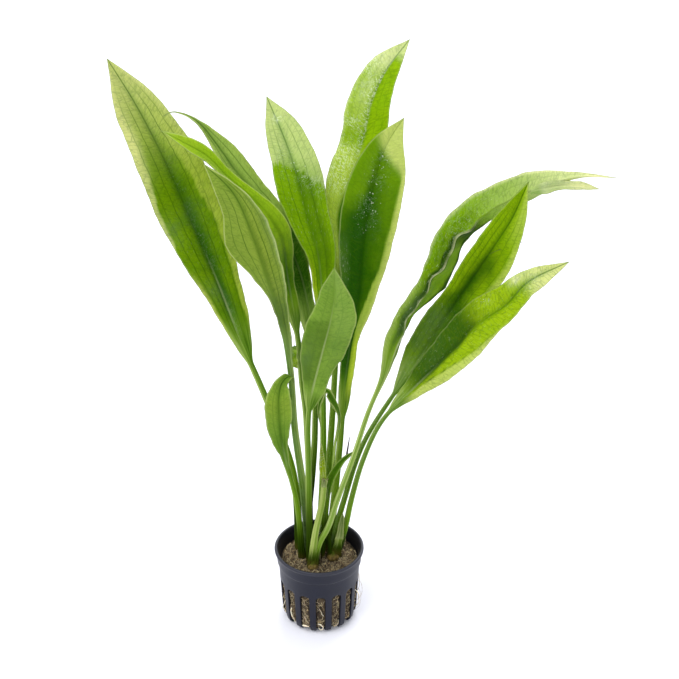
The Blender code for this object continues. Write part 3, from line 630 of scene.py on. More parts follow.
def half_thickness(place, out, blade, leafy, stem_thick, swell):
    """How far the upper and the lower face lie from the middle of a leaf, for one line along it."""
    rib = stem_thick * np.interp(blade, (0.0, 0.5, 1.0), (1.0, 0.40, 0.04))
    round_part = math.sqrt(max(0.0, 1.0 - place * place))
    edge = min(1.0, 8.0 * (1.0 - abs(place)))
    turn = math.acos(max(-1.0, min(1.0, place)))
    ribs = STEM_RIB_DEPTH * stem_thick * math.cos(STEM_RIBS * turn) * round_part
    groove = GROOVE_DEPTH * np.exp(-(out / GROOVE_WIDTH) ** 2) * (1.0 - 0.7 * blade)
    raised = MIDRIB_HEIGHT * rib * np.exp(-(out / (0.55 + 0.4 * rib)) ** 2)
    above = ((STEM_ABOVE * stem_thick * swell * round_part ** 0.8 + ribs) * (1.0 - leafy)
             + (BLADE_THICKNESS / 2.0 - groove) * edge * leafy)
    below = ((STEM_BELOW * stem_thick * swell * round_part ** 0.9 - ribs) * (1.0 - leafy)
             + (BLADE_THICKNESS / 2.0 + raised) * edge * leafy)
    return above, below


def leaf_grids(name, leaf, stem_steps, blade_steps, columns):
    """Upper and lower faces of a leaf as grids of points, and what each point carries for its material."""
    start = leaf["blade_from"]
    stem_shares = np.linspace(0.0, start, stem_steps + 1)[:-1]
    blade_shares = start + (1.0 - start) * np.linspace(0.0, 1.0, blade_steps + 1)
    shares = np.concatenate([stem_shares, blade_shares])
    middle, along, length = curve_through(leaf["points"], shares)
    run = shares * length
    blade = np.clip((shares - start) / (1.0 - start), 0.0, 1.0)
    turn_from = leaf.get("turn_from", 0.0)
    turned = np.clip((blade - turn_from) / (1.0 - turn_from), 0.0, 1.0)[:, None]
    low, high = (unit(face)[None, :] for face in leaf["face"])
    face = low * (1.0 - turned) + high * turned
    normal = unit(face - np.sum(face * along, axis=1, keepdims=True) * along)
    side = np.cross(along, normal)
    stem_half, stem_thick = leaf["stem"]
    foot_size, neck_size = leaf.get("taper", STEM_TAPER)
    swell = 1.0 + BASE_SWELL * np.exp(-run / BASE_SWELL_HEIGHT)
    swell = swell * np.interp(shares / start, (0.0, 1.0), (foot_size, neck_size))
    leafy = rise(blade, 0.0, STEM_TO_BLADE)
    fold = math.radians(leaf["fold"]) * leafy
    seed = sum(ord(letter) for letter in name)
    grid = (len(shares), columns, 3)
    upper, lower, places, split = (np.zeros(grid) for _ in range(4))
    for column, place in enumerate(np.sin(np.linspace(-0.5, 0.5, columns) * math.pi)):
        left = place < 0
        values = leaf["both"] if "both" in leaf else leaf["left" if left else "right"]
        width = np.where(blade > 0.0, half_width(values, blade, stem_half * neck_size), stem_half * swell)
        if left and "left_more" in leaf:
            width = width + np.interp(blade, *zip(*leaf["left_more"]))
        width = width + EDGE_WOBBLE * leafy * (1.0 - blade**8) * wobble(run, seed + int(left))
        out = width * abs(place)
        lift = out * np.sin(fold) + leafy * skin_lift(place, width, blade, run, leaf["wave"], seed)
        base = middle + side * (out * np.cos(fold) * np.sign(place))[:, None] + normal * lift[:, None]
        if "meander" in leaf:
            swing = leaf["meander"] * (1.0 - place * place) * rise(blade, 0.1, 0.3) * rise(blade, 0.7, 0.55)
            base = base + side * (swing * wobble(run, seed + 21, (24.0, 13.0), (1.0, 0.7)))[:, None]
        above, below = half_thickness(place, out, blade, leafy, stem_thick, swell)
        upper[:, column] = base + normal * above[:, None]
        lower[:, column] = base - normal * below[:, None]
        places[:, column] = np.stack([out * np.sign(place), run + leaf.get("from_soil", 0.0), width], axis=-1)
        split[:, column] = np.stack([np.full_like(run, place), blade, leafy], axis=-1)
    if "of" not in leaf:
        upper[0, :, 2] = STEM_BOTTOM
        lower[0, :, 2] = STEM_BOTTOM
    a = split[:, :, 0]
    tones = TONES.get(name, plain_tones)(a, split[:, :, 1], places[:, :, 1])
    return upper, lower, {"leaf_place": places, "leaf_share": split, **tone_grids(a, **tones)}


def ring_grid_faces(rings, columns):
    """Faces of a tube made of closed rings with flat ends, facing out."""
    start = np.arange(rings - 1)[:, None] * columns
    low = start + np.arange(columns)[None, :]
    low_after = start + (np.arange(columns)[None, :] + 1) % columns
    quads = np.stack([low, low_after, low_after + columns, low + columns], axis=-1).reshape(-1, 4)
    last = (rings - 1) * columns
    return quads.tolist() + [tuple(range(columns - 1, -1, -1)), tuple(range(last, last + columns))]


def make_piece(name, vertices, faces, material, replaced=(), carried=None):
    """A mesh piece that rides on the object; what its points carry goes in as mesh attributes."""
    mesh = bpy.data.meshes.new(name)
    mesh.from_pydata((np.asarray(vertices, float) * MM).tolist(), [], faces)
    for key, values in (carried or {}).items():
        layer = mesh.attributes.new(key, "FLOAT_VECTOR", "POINT")
        layer.data.foreach_set("vector", np.asarray(values, np.float32).ravel())
    mesh.polygons.foreach_set("use_smooth", [True] * len(mesh.polygons))
    mesh.materials.append(material)
    mesh.update()
    piece = bpy.data.objects.new(name, mesh)
    bpy.context.scene.collection.objects.link(piece)
    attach(piece, BODY)
    for node in replaced:
        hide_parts(node)
    return piece


def make_leaf(name, leaf, material):
    """One closed mesh for stem and blade; a flap takes its material from its leaf and replaces no solid."""
    small = leaf["stem"][0] < SMALL_STEM or leaf["points"][-1][2] < SMALL_TOP
    upper, lower, carried = leaf_grids(name, leaf, *(SMALL_STEPS if small else LARGE_STEPS))

    def rings(top, bottom):
        return np.concatenate([top, bottom[:, 1:-1][:, ::-1]], axis=1)

    points = {key: rings(grid, grid) for key, grid in carried.items()}
    beneath = np.full(upper.shape, 1.0 if leaf.get("shown") == "under" else 0.0)
    points["leaf_under"] = rings(beneath, 1.0 - beneath)
    vertices = rings(upper, lower)
    faces = ring_grid_faces(*vertices.shape[:2])
    flap = "of" in leaf
    return make_piece("leaf_" + name, vertices.reshape(-1, 3), faces, material, () if flap else [name],
                      {key: grid.reshape(-1, 3) for key, grid in points.items()})


def along(t, *pairs):
    """A value that follows pairs of share of the blade and value."""
    return np.interp(t, *zip(*pairs))


def spot(value, middle, spread):
    """1 at a middle value, falling off softly on both sides."""
    return np.exp(-((value - middle) / spread) ** 2)


def tone_grids(a, deep=0.0, pale=0.0, yellow=0.0, wet=0.0, glint_specks=0.0, glint_streaks=0.0, sheen=0.0, white_glint=0.0):
    """What a blade's points carry, 0 to 1: colour with painted shade and glare, gloss, painted light on it.
    """
    def grid(*values):
        return np.stack([np.clip(value + 0.0 * a, 0.0, 1.0) for value in values], axis=-1)

    return {"leaf_tone": grid(deep, pale, yellow), "leaf_gloss": grid(wet, glint_specks, glint_streaks),
            "leaf_sheen": grid(sheen, white_glint, 0.0)}


# Tones of each blade: a runs from -1 to 1 across it, t from 0 to 1 along it, run in millimetres from the
# soil.
# The deep green tone also stands for painted shade, such as that of a leaf behind; the pale tone also
# stands for painted glare on wet and backlit parts.
def plain_tones(a, t, run):
    return dict(deep=0.5 * spot(a, 0.0, 0.4) * rise(t, 0.02, 0.2) * rise(t, 0.95, 0.6),
                pale=0.5 * rise(t, 0.85, 1.0), yellow=0.4 * rise(np.abs(a), 0.75, 1.0), wet=0.3)


def far_left_tones(a, t, run):
    # The zone between left and right is painted shade where a leaf behind blocks the backlight; the tip is
    # painted glare.
    shift = 0.03 * wobble(run, 3)
    left = along(t, (0, 1.4), (0.36, 1.2), (0.43, 0.96), (0.54, 0.88), (0.63, 0.80), (0.74, 0.66), (1, 0.3))
    left = left + shift
    right = along(t, (0, 1.2), (0.10, 0.95), (0.16, 0.82), (0.21, 0.76), (0.38, 0.77), (0.44, 0.72),
                  (0.50, 0.64), (0.56, 0.54), (0.66, 0.46), (0.80, 0.40), (1, 0.2)) - shift
    soft = 0.05 + 0.45 * rise(t, 0.60, 0.85)
    shaded_inside = np.clip((a + left) / soft, 0.0, 1.0) * np.clip((right - a) / soft, 0.0, 1.0)
    shaded_inside = shaded_inside * rise(t, 0.95, 0.56)
    centre = spot(a, 0.08, 0.22) * rise(t, 0.05, 0.15) * rise(t, 0.95, 0.35)
    strip = rise(a, 0.15, 0.5) * (1.0 - shaded_inside) * rise(t, 0.9, 0.6)
    outer = (1.0 - shaded_inside) * rise(a, -0.4, -0.9) * rise(t, 0.93, 0.75)
    margin = rise(a, -0.74, -0.92) * rise(t, 0.36, 0.26) * rise(t, 0.02, 0.10)
    tip = rise(t, 0.58, 0.86)
    sheen = spot(a, -0.75, 0.28) * spot(t, 0.475, 0.045) + 0.9 * spot(a, -0.45, 0.4) * spot(t, 0.26, 0.04)
    sheen = sheen + 0.3 * spot(a, 0.1, 0.4) * spot(t, 0.5, 0.04)
    sheen = sheen + 0.5 * spot(a, 0.05, 0.2) * spot(t, 0.2, 0.06)
    low = rise(t, 0.3, 0.1) * rise(np.abs(a - 0.05), 0.9, 0.6)
    return dict(deep=shaded_inside * (0.26 + 0.62 * centre) + 0.45 * low + 0.3 * spot(a, 0.0, 0.12) * tip,
                pale=(1.0 - shaded_inside) * (0.25 * tip + 0.3 * rise(t, 0.80, 0.95)) + outer * 0.7
                + 0.35 * tip * rise(np.abs(a), 0.6, 1.0) + 0.15 * margin + 0.15 * tip,
                yellow=0.75 * strip + 0.85 * margin + 0.5 * tip, wet=0.2, glint_specks=0.15 * centre,
                glint_streaks=0.2 * shaded_inside * rise(t, 0.58, 0.48) * rise(t, 0.12, 0.3), sheen=0.6 * sheen)


def left_back_tones(a, t, run):
    low = rise(t, 0.50, 0.38)
    return dict(deep=0.95 * low + 0.25 * spot(a, 0.0, 0.2) + 0.3 * rise(t, 0.60, 0.48),
                pale=0.1 * (1.0 - low) + 0.4 * rise(t, 0.85, 0.95), yellow=0.2 * rise(a, 0.6, 0.95), wet=0.2,
                sheen=0.4 * spot(a, 0.9, 0.2) * spot(t, 0.42, 0.10))


def left_bright_tones(a, t, run):
    deep = along(t, (0, 0.9), (0.20, 0.88), (0.30, 0.62), (0.40, 0.36), (0.50, 0.12), (0.60, 0.0), (1.0, 0.0))
    return dict(deep=deep + 0.15 * spot(a, 0.0, 0.15), wet=0.3,
                pale=0.3 * rise(t, 0.93, 1.0) + 0.4 * rise(np.abs(a), 0.8, 1.0) * rise(t, 0.7, 0.8)
                + 0.25 * spot(a, -0.5, 0.3) * spot(t, 0.68, 0.12),
                yellow=0.3 * rise(np.abs(a), 0.7, 1.0) + 0.2 * rise(t, 0.8, 0.95),
                sheen=0.3 * spot(a, 0.75, 0.3) * spot(t, 0.32, 0.1)
                + 0.5 * spot(a, -0.3, 0.4) * spot(t, 0.37, 0.05))


def left_front_tones(a, t, run):
    edge = rise(a, -0.78, -0.95)
    band = rise(a, -0.42, -0.66) * rise(t, 0.42, 0.55) * rise(t, 0.86, 0.76)
    mottle = spot(a, -0.2, 0.6) * spot(t, 0.6, 0.2)
    low = rise(t, 0.50, 0.22)
    halo = spot(a, -0.05, 0.2) * rise(t, 0.3, 0.5) * rise(t, 0.80, 0.60)
    return dict(deep=0.50 * low + 0.45 * halo + 0.35 * band + 0.2 * rise(a, 0.6, 1.0) * spot(t, 0.65, 0.1),
                pale=0.40 * edge * rise(t, 0.2, 0.35), yellow=0.45 * mottle + 0.2 * (1.0 - low),
                wet=0.1, sheen=0.25 * band + 0.55 * low)


def centre_left_tones(a, t, run):
    # Above the limit the wet skin gets painted glare, with painted glint specks along its edge and a painted
    # white highlight near the top.
    limit = along(a, (-1, 0.745), (-0.66, 0.735), (-0.33, 0.715), (0, 0.69), (0.33, 0.66), (0.66, 0.615),
                  (1, 0.59))
    limit = limit + 0.014 * wobble(42.0 * a + 0.25 * run, 5, (9.0, 4.1, 2.3), (1.0, 0.8, 0.7))
    above = rise(t - limit, -0.006, 0.010)
    bed = spot(t - limit, 0.01, 0.055) * rise(np.abs(a - 0.15), 1.0, 0.6)
    centre = spot(a, 0.18, 0.27) * rise(t, 0.12, 0.3)
    veins = spot(a, 0.45, 0.14) * rise(t, 0.12, 0.3) + 0.6 * spot(a, -0.6, 0.06) * rise(t, 0.3, 0.5)
    veins = veins + 0.9 * spot(a, 0.62, 0.16) * rise(t, 0.55, 0.46) * rise(t, 0.15, 0.25)
    edge = rise(a, -0.45, -0.70) * rise(t, 0.36, 0.22)
    return dict(deep=(1.0 - above) * (0.08 + 0.5 * centre + 0.4 * veins) + 0.25 * bed * above,
                pale=above * (0.85 - 0.35 * bed) + 0.15 * above * rise(t, 0.86, 0.95),
                yellow=0.85 * edge + 0.2 * (1.0 - above), wet=0.35 + 0.5 * above, glint_specks=bed,
                glint_streaks=0.6 * (1.0 - above) * rise(t, 0.30, 0.45),
                white_glint=0.9 * spot(a, 0.0, 0.38) * spot(t, 0.905, 0.014))


def top_tones(a, t, run):
    # The pale crown and wrinkled zones of the left half are painted glare on the wet, crinkled skin, with a
    # painted white highlight.
    left = rise(a, 0.10, -0.02)
    upper = rise(t, 0.60, 0.66)
    crown = np.clip(left * rise(t, 0.82, 0.90) + rise(t, 0.90, 0.95), 0.0, 1.0)
    wrinkled = left * upper * (0.15 + 0.5 * spot(a, -0.35, 0.3) * spot(t, 0.78, 0.08))
    low = rise(t, 0.61, 0.53) * rise(a, 0.20, 0.02)
    low_right = rise(t, 0.49, 0.43) * (1.0 - left)
    return dict(deep=0.75 * low_right + 0.3 * spot(a, 0.03, 0.10) + 0.15 * left * spot(t, 0.64, 0.04),
                pale=0.85 * crown + 0.6 * wrinkled + 0.15 * low + 0.35 * rise(a, -0.8, -1.0),
                yellow=0.95 * low + 0.3 * upper * left, wet=0.6 * left + 0.2,
                glint_specks=left * rise(t, 0.35, 0.45) * rise(t, 0.93, 0.85),
                glint_streaks=0.6 * low + 0.4 * upper * left,
                white_glint=0.35 * left * spot(t, 0.80, 0.05) * spot(a, -0.5, 0.2))


def centre_right_tones(a, t, run):
    # The dark zone is painted shade where a leaf behind blocks the backlight; the paler tip is painted glare
    # on the wet skin.
    limit = along(a, (-1, 0.935), (-0.3, 0.91), (0.3, 0.885), (0.7, 0.865), (1, 0.84))
    tip = rise(t - limit, -0.02, 0.02)
    inner = along(t, (0, 0.05), (0.20, 0.25), (0.34, 0.30), (0.40, 0.34), (0.47, 0.52), (0.55, 0.72),
                  (0.80, 0.84), (1.0, 0.9))
    margin = rise(a - inner, -0.03, 0.06) * (1.0 - tip)
    bright = rise(a, -0.05, -0.45) * rise(t, 0.68, 0.78) * (1.0 - tip)
    dark = (1.0 - tip) * (1.0 - margin) * (1.0 - 0.85 * bright)
    dark = dark * (0.68 + 0.32 * spot(a, -0.30, 0.42)) * (1.0 - 0.50 * rise(t, 0.72, 0.88))
    dark = dark * (1.0 - 0.30 * rise(a, 0.15, 0.6) * rise(t, 0.5, 0.6))
    dots = spot(a, 0.0, 0.34) * rise(t, 0.62, 0.70) * rise(t, 0.93, 0.88)
    low = rise(t, 0.36, 0.28)
    return dict(deep=dark + 0.35 * low * rise(a, 0.5, 0.1),
                pale=0.75 * tip + margin * (1.0 - low) * (0.30 + 0.5 * rise(a, 0.72, 0.98)),
                yellow=0.35 * margin + 0.7 * low * rise(a, 0.1, 0.7), wet=0.3 + 0.4 * tip, glint_specks=dots,
                glint_streaks=0.9 * rise(a, -0.45, -0.7) * spot(t, 0.56, 0.07),
                sheen=0.8 * rise(a, -0.5, -0.75) * spot(t, 0.57, 0.06))


def front_small_tones(a, t, run):
    # The blade is darker where it folds at the lower left: painted shade in the fold.
    fold = 0.35 * spot(a, -0.6, 0.25) * spot(t, 0.28, 0.08)
    low = rise(t, 0.74, 0.56) * (1.0 - 0.45 * rise(a, 0.0, 0.15))
    return dict(deep=0.5 * low + 0.05 * rise(a, 0.0, -0.2) + fold,
                pale=0.15 * rise(t, 0.8, 1.0) + 0.12 * rise(a, 0.02, 0.1) * rise(t, 0.5, 0.7), wet=0.1,
                sheen=0.45 * spot(a, -0.7, 0.4) * spot(t, 0.36, 0.14)
                + 0.25 * rise(a, 0.0, 0.3) * spot(t, 0.5, 0.2))


def curled_small_tones(a, t, run):
    lines = spot(a, 0.02, 0.1) + 0.7 * spot(a, 0.42, 0.08) + 0.6 * spot(a, -0.45, 0.08)
    return dict(deep=0.35 * rise(t, 0.5, 0.3) + 0.4 * lines * rise(t, 0.2, 0.4),
                pale=0.25 * rise(np.abs(a), 0.75, 1.0), yellow=0.55 * spot(t, 0.7, 0.15), wet=0.3)


def arch_right_tones(a, t, run):
    # Painted shade lies beside the fold and on the strip beyond it; the line along the fold is the pale
    # midrib with a painted highlight on it.
    crease = 0.03 * wobble(run, 17, (22.0, 11.0, 6.0))
    band = rise(a - crease, -0.03, 0.03)
    strip = (1.0 - band) * rise(t, 0.66, 0.54)
    far = rise(t, 0.55, 0.70)
    low = rise(t, 0.40, 0.28)
    shadow = spot(a - crease, 0.13, 0.09) * rise(t, 0.56, 0.48) * rise(t, 0.12, 0.26)
    shadow = shadow + 0.8 * spot(a - crease, -0.10, 0.06) * rise(t, 0.62, 0.52) * rise(t, 0.2, 0.35)
    line = spot(a, crease, 0.021) * rise(t, 0.60, 0.54) * rise(t, 0.10, 0.18)
    lobe = rise(a, -0.2, -0.4) * spot(t, 0.80, 0.05)
    outline = rise(a, -0.80, -0.97) * rise(t, 0.66, 0.58)
    foot = rise(t, 0.24, 0.12)
    shadow = shadow + 0.5 * low * spot(a, 0.30, 0.14) * rise(t, 0.04, 0.12)
    return dict(deep=0.95 * shadow + 0.3 * band * (1.0 - far) * spot(a, 0.38, 0.3) + 0.7 * foot * (1.0 - band)
                + strip * (0.30 + 0.55 * spot(t, 0.55, 0.06)) + 0.35 * lobe + 0.6 * outline,
                pale=0.16 * far + 0.42 * rise(t, 0.68, 0.85) + 0.4 * rise(t, 0.86, 0.95)
                + 0.5 * band * rise(a, 0.78, 1.0) * (1.0 - 0.7 * low)
                + 0.12 * low * rise(a, 0.4, 0.8) + 0.9 * line,
                yellow=0.6 * low * rise(a, 0.3, 0.8) + 0.35 * far, wet=0.3 * band,
                glint_specks=0.3 * band * spot(t, 0.55, 0.1),
                glint_streaks=band * rise(t, 0.16, 0.24) * rise(t, 0.72, 0.60),
                sheen=0.8 * band * spot(t, 0.26, 0.08) * spot(a, 0.35, 0.4) + 0.5 * lobe, white_glint=0.4 * line)


def right_mid_tones(a, t, run):
    middle = along(t, (0, -0.2), (0.45, -0.1), (0.55, 0.0), (0.66, 0.18), (1.0, 0.2))
    centre = spot(a, middle, 0.46) * rise(t, 0.36, 0.44) * rise(t, 0.80, 0.60)
    low = rise(t, 0.52, 0.42)
    margin = rise(a, 0.70, 0.90) * rise(t, 0.52, 0.60) * rise(t, 0.82, 0.74)
    tip = rise(t, 0.74, 0.88)
    patch = low * spot(a, -0.35, 0.6)
    return dict(deep=0.78 * centre * (1.0 - 0.65 * low) + 0.62 * low + 0.2 * low * rise(a, 0.0, 0.4),
                pale=0.45 * margin + 0.3 * tip * rise(a, 0.2, 0.6),
                yellow=0.55 * tip * rise(a, -0.1, 0.1) + 0.6 * margin, wet=0.3,
                glint_specks=spot(a, 0.92, 0.12) * spot(t, 0.58, 0.025)
                + 0.7 * spot(a, 0.66, 0.12) * spot(t, 0.45, 0.02),
                glint_streaks=0.3 * low, sheen=0.5 * patch * rise(t, 0.46, 0.38) * (1.0 - 0.8 * rise(a, 0.0, 0.4)))


def right_low_tones(a, t, run):
    vein = along(t, (0, 0.30), (0.2, 0.32), (0.35, 0.50), (0.45, 0.66), (0.55, 0.80), (0.65, 0.95), (1, 1.2))
    beyond = rise(a - vein, -0.02, 0.10) * rise(t, 0.03, 0.12)
    line = spot(a - vein, 0.0, 0.030) * rise(t, 0.12, 0.2) * rise(t, 0.66, 0.58)
    left_to = along(t, (0, 0.25), (0.45, 0.25), (0.6, -0.1), (1, -0.3))
    left = rise(a, left_to, -0.12) * rise(t, 0.66, 0.48)
    tip = rise(t, 0.78, 0.88)
    edge = rise(a, -0.6, -0.95) * spot(t, 0.66, 0.06)
    # The paler tip and the wet spot are painted glare, the spot with a painted white highlight.
    wet_spot = spot(a, -0.7, 0.35) * spot(t, 0.80, 0.025)
    return dict(deep=left + 0.6 * line + 0.35 * rise(t, 0.5, 0.2) * (1.0 - beyond) + 0.4 * edge,
                pale=0.75 * tip + 0.1 * rise(t, 0.9, 1.0) + 0.32 * beyond
                + 0.2 * rise(a, 0.85, 1.0) + 0.7 * wet_spot,
                yellow=0.5 * beyond + 0.1 * (1.0 - left), wet=0.35 + 0.4 * wet_spot,
                glint_specks=spot(a, -0.75, 0.22) * spot(t, 0.655, 0.03) + 0.5 * spot(t, 0.85, 0.06),
                glint_streaks=0.3, white_glint=0.35 * wet_spot, sheen=0.2 * left * spot(t, 0.3, 0.15))


def arch_flap_tones(a, t, run):
    return dict(deep=0.1 * rise(t, 0.3, 0.0), pale=0.55 + 0.35 * rise(t, 0.3, 0.8), wet=0.2,
                sheen=0.5 * rise(t, 0.5, 0.0))


def left_flap_tones(a, t, run):
    return dict(deep=0.25 + 0.3 * spot(t, 0.35, 0.2), pale=0.3 * rise(np.abs(a), 0.6, 1.0),
                yellow=0.4 * rise(t, 0.3, 0.8), wet=0.2, glint_specks=0.5)


def bud_tones(a, t, run):
    return dict(deep=0.3 * rise(t, 0.1, 0.0) + 0.6 * spot(a, 0.0, 0.15), pale=0.3 * rise(t, 0.6, 1.0),
                yellow=0.7 * rise(t, 0.0, 0.15), wet=0.4, glint_specks=0.8)


def stub_tones(a, t, run):
    return dict(pale=0.45, yellow=0.15, wet=0.1)


TONES = {
    "far_left": far_left_tones,
    "left_back": left_back_tones,
    "left_bright": left_bright_tones,
    "left_front": left_front_tones,
    "centre_left": centre_left_tones,
    "top": top_tones,
    "centre_right": centre_right_tones,
    "front_small": front_small_tones,
    "curled_small": curled_small_tones,
    "arch_right": arch_right_tones,
    "arch_flap": arch_flap_tones,
    "left_flap": left_flap_tones,
    "right_mid": right_mid_tones,
    "right_low": right_low_tones,
    "bud": bud_tones,
    "cut_stub": stub_tones,
    "sheath": stub_tones,
}


def leaf_material(name, palette, looks):
    """Blade and stem in one material: midrib, veins, net, tones, gloss and the light that comes through."""
    sheet = Sheet(name)
    palette = [seen(*colour) for colour in palette]
    mid_colour, deep_colour, pale_colour, yellow_colour, under_colour, stem_colour = palette
    across, run, half = sheet.parts("leaf_place")
    a, t, leafy = sheet.parts("leaf_share")
    deep, pale, yellow = sheet.parts("leaf_tone")
    wet, glint_specks, glint_streaks = sheet.parts("leaf_gloss")
    sheen, white_glint, _ = sheet.parts("leaf_sheen")
    under = sheet.parts("leaf_under")[0]
    reach = abs(across)
    side = abs(a)
    flat = joined(across, run)
    place = sheet.place()
    drift = place.noise(9.0)
    fine = place.noise(1.6, 3.0, 0.6)
    broad = place.noise(26.0)

    # Veins
    rib_at = reach / ((1.0 - t) * 0.55 + 0.24)
    midrib = rise(rib_at, 1.5, 0.5) * leafy
    halo = rise(reach, 2.6, 0.2) * leafy * rise(t, 1.0, 0.85)
    lines = []
    for position, strength in looks["laterals"]:
        bent = side - position + (drift - 0.5) * 0.10
        lines.append(rise(abs(bent * half), 0.36, 0.10) * strength)
    lateral = functools.reduce(Value.larger, lines)
    lateral = lateral * rise(t, 0.05, 0.2) * rise(t, 0.98, 0.80) * (broad * 0.9 + 0.45)
    climb = run - reach * 0.62
    steps = joined(across / CROSS_VEIN_REACH, (climb + drift * 3.0 + fine * 0.8) / CROSS_VEIN_STEP)
    hatch = rise(steps.cells(1.0, "DISTANCE_TO_EDGE"), 0.10, 0.02) * rise(fine, 0.30, 0.55) * leafy
    hatch = hatch * rise(reach, 0.4, 1.2) * rise(t, 0.02, 0.12)
    net = rise(joined(across * 1.1, run - reach * 0.6).cells(1.0, "DISTANCE_TO_EDGE"), 0.17, 0.03)
    net = net * rise(broad, 0.35, 0.6) * leafy
    vein = lateral.larger(hatch * looks["hatch"]).larger(net * looks["net"])

    # Colour of the blade, with the painted shade and painted glare that its tones carry
    colour = (under * 0.9).mix(mid_colour, under_colour)
    colour = colour.darker(DRIFT_SHADE, rise(drift, 0.42, 0.70) * leafy * 0.30)
    mottle = ((drift - 0.5) * 0.35 + (fine - 0.5) * 0.22) * rise(deep, 0.0, 0.25)
    colour = (rise(deep + mottle, 0.0, 1.0) * leafy).mix(colour, deep_colour)
    colour = (yellow * (fine * 0.7 + 0.55)).mix(colour, yellow_colour)
    colour = (pale * (fine * 0.5 + 0.75)).mix(colour, pale_colour)
    colour = colour.darker(HALO_SHADE, halo * looks["halo"])
    colour = colour.darker(VEIN_SHADE, vein * (1.0 - deep * 0.5))
    colour = (hatch * deep * 0.12).mix(colour, mid_colour)
    pale_to = looks["rib_pale_to"]
    colour = colour.darker(VEIN_SHADE, midrib * looks["rib_dark"] * rise(t, pale_to, 1.0))
    rib_pale = rise(rib_at, 1.2, 0.3) * leafy * looks["rib_pale"] * rise(t, pale_to, pale_to * 0.4)
    colour = rib_pale.mix(colour, RIB_PALE)
    edge_distance = (1.0 - side) * half
    colour = (rise(edge_distance, 0.9, 0.4) * leafy * looks["rim"]).mix(colour, EDGE_PALE)
    colour = (rise(edge_distance, 0.34, 0.12) * leafy * 0.55).mix(colour, EDGE_DARK)

    # Stem: pale face, darker ribs with painted shade in the grooves between them, pale streaks, painted shade
    # down one side and painted highlights along its edges, dark green and then brown at the foot
    rib_wave = joined(a * 6.0, run * 0.03).noise(1.0, 3.0)
    streak_wave = joined(a * 9.0, run * 0.05).noise(1.0)
    wander = streak_wave - 0.5
    stem_groove_shade = tuple(one * two for one, two in zip(stem_colour, STEM_GROOVE_SHADE))
    stem = rise(rib_wave, 0.36, 0.66).mix(stem_groove_shade, stem_colour)
    stem = (rise(streak_wave, 0.5, 0.7) * 0.35).mix(stem, STEM_STREAK_AND_HIGHLIGHT)
    stem = stem.darker(STEM_SHADED_SIDE, rise(a, -0.05, 0.30) * rise(a, 0.95, 0.72) * 0.85)
    low = rise(run + wander * 24.0, looks["low"], looks["low"] * 0.3)
    stem = (low * 0.62).mix(stem, STEM_LOW)
    edge_highlight = rise(a, -0.40, -0.75).larger(rise(a, 0.80, 0.96) * 0.7)
    stem = (edge_highlight * rise(run, 20.0, 60.0) * 0.42).mix(stem, STEM_STREAK_AND_HIGHLIGHT)
    foot = rise(run + wander * 14.0, looks["foot"], looks["foot"] * 0.33)
    stem = (foot * 0.93).mix(stem, FOOT_GREEN)
    stem = (rise(run + drift * 8.0, 10.0, 4.0) * 0.65).mix(stem, FOOT_BROWN)
    colour = rise(leafy, 0.9, 0.15).mix(colour, stem)

    # Light painted onto the damp skin: soft bluish sheen, white glints and glinting streaks
    colour = (sheen * rise(fine * 0.6 + drift * 0.6, 0.30, 0.75) * 0.55).mix(colour, SHEEN)
    dot = rise(flat.cells(1.35), 0.26, 0.13) * rise(flat.noise(2.3, 1.0), 0.49, 0.57) * glint_specks
    glint_streak = rise(joined(across * 1.3, climb * 0.22).noise(0.62, 2.0, 0.6), 0.60, 0.72) * glint_streaks
    ridge = rise(abs(joined(across * 0.8, climb).noise(1.9, 3.0, 0.6) - 0.5), 0.035, 0.005)
    ridge = ridge * glint_specks * rise(drift, 0.35, 0.6)
    glint = (dot * looks["dots"]).larger(glint_streak * 0.45).larger(ridge * looks["ridges"])
    glint = glint.larger(white_glint * rise(fine, 0.40, 0.60)) * (1.0 - under)
    colour = glint.mix(colour, GLINT)

    # Relief and gloss
    wrinkle = joined(across * 0.7, run).noise(1.5, 3.0, 0.65) * glint_specks.larger(wet * 0.35)
    relief = (vein * -0.16 + midrib * -0.15 + drift * 0.25 + hatch * -0.05 + wrinkle * 0.9 + dot * 0.20
              + rise(leafy, 0.9, 0.2) * rib_wave * 0.35)
    rough = fine * 0.12 + 0.48 - wet * 0.2 + under * 0.12 + foot * rise(leafy, 0.5, 0.1) * 0.2
    normal = sheet.skin(colour, rough, relief, 0.85, LEAF_SPECULAR)
    give(sheet.tree, sheet.shader.inputs["Coat Weight"], (1.0 - under) * wet * wet * 0.25)
    sheet.shader.inputs["Coat Roughness"].default_value = LEAF_COAT_ROUGHNESS
    through = (leafy * 0.8).mix(colour, colour.tinted(LIGHT_THROUGH))
    glow = colour.add("BsdfTranslucent", {"Color": through, "Normal": normal})
    skin = Value(sheet.tree, sheet.shader.outputs[0])
    blend = colour.add("MixShader", {0: leafy * TRANSLUCENCE + 0.05, 1: skin, 2: glow})
    give(sheet.tree, sheet.tree.nodes["Material Output"].inputs["Surface"], blend)
    return sheet.material


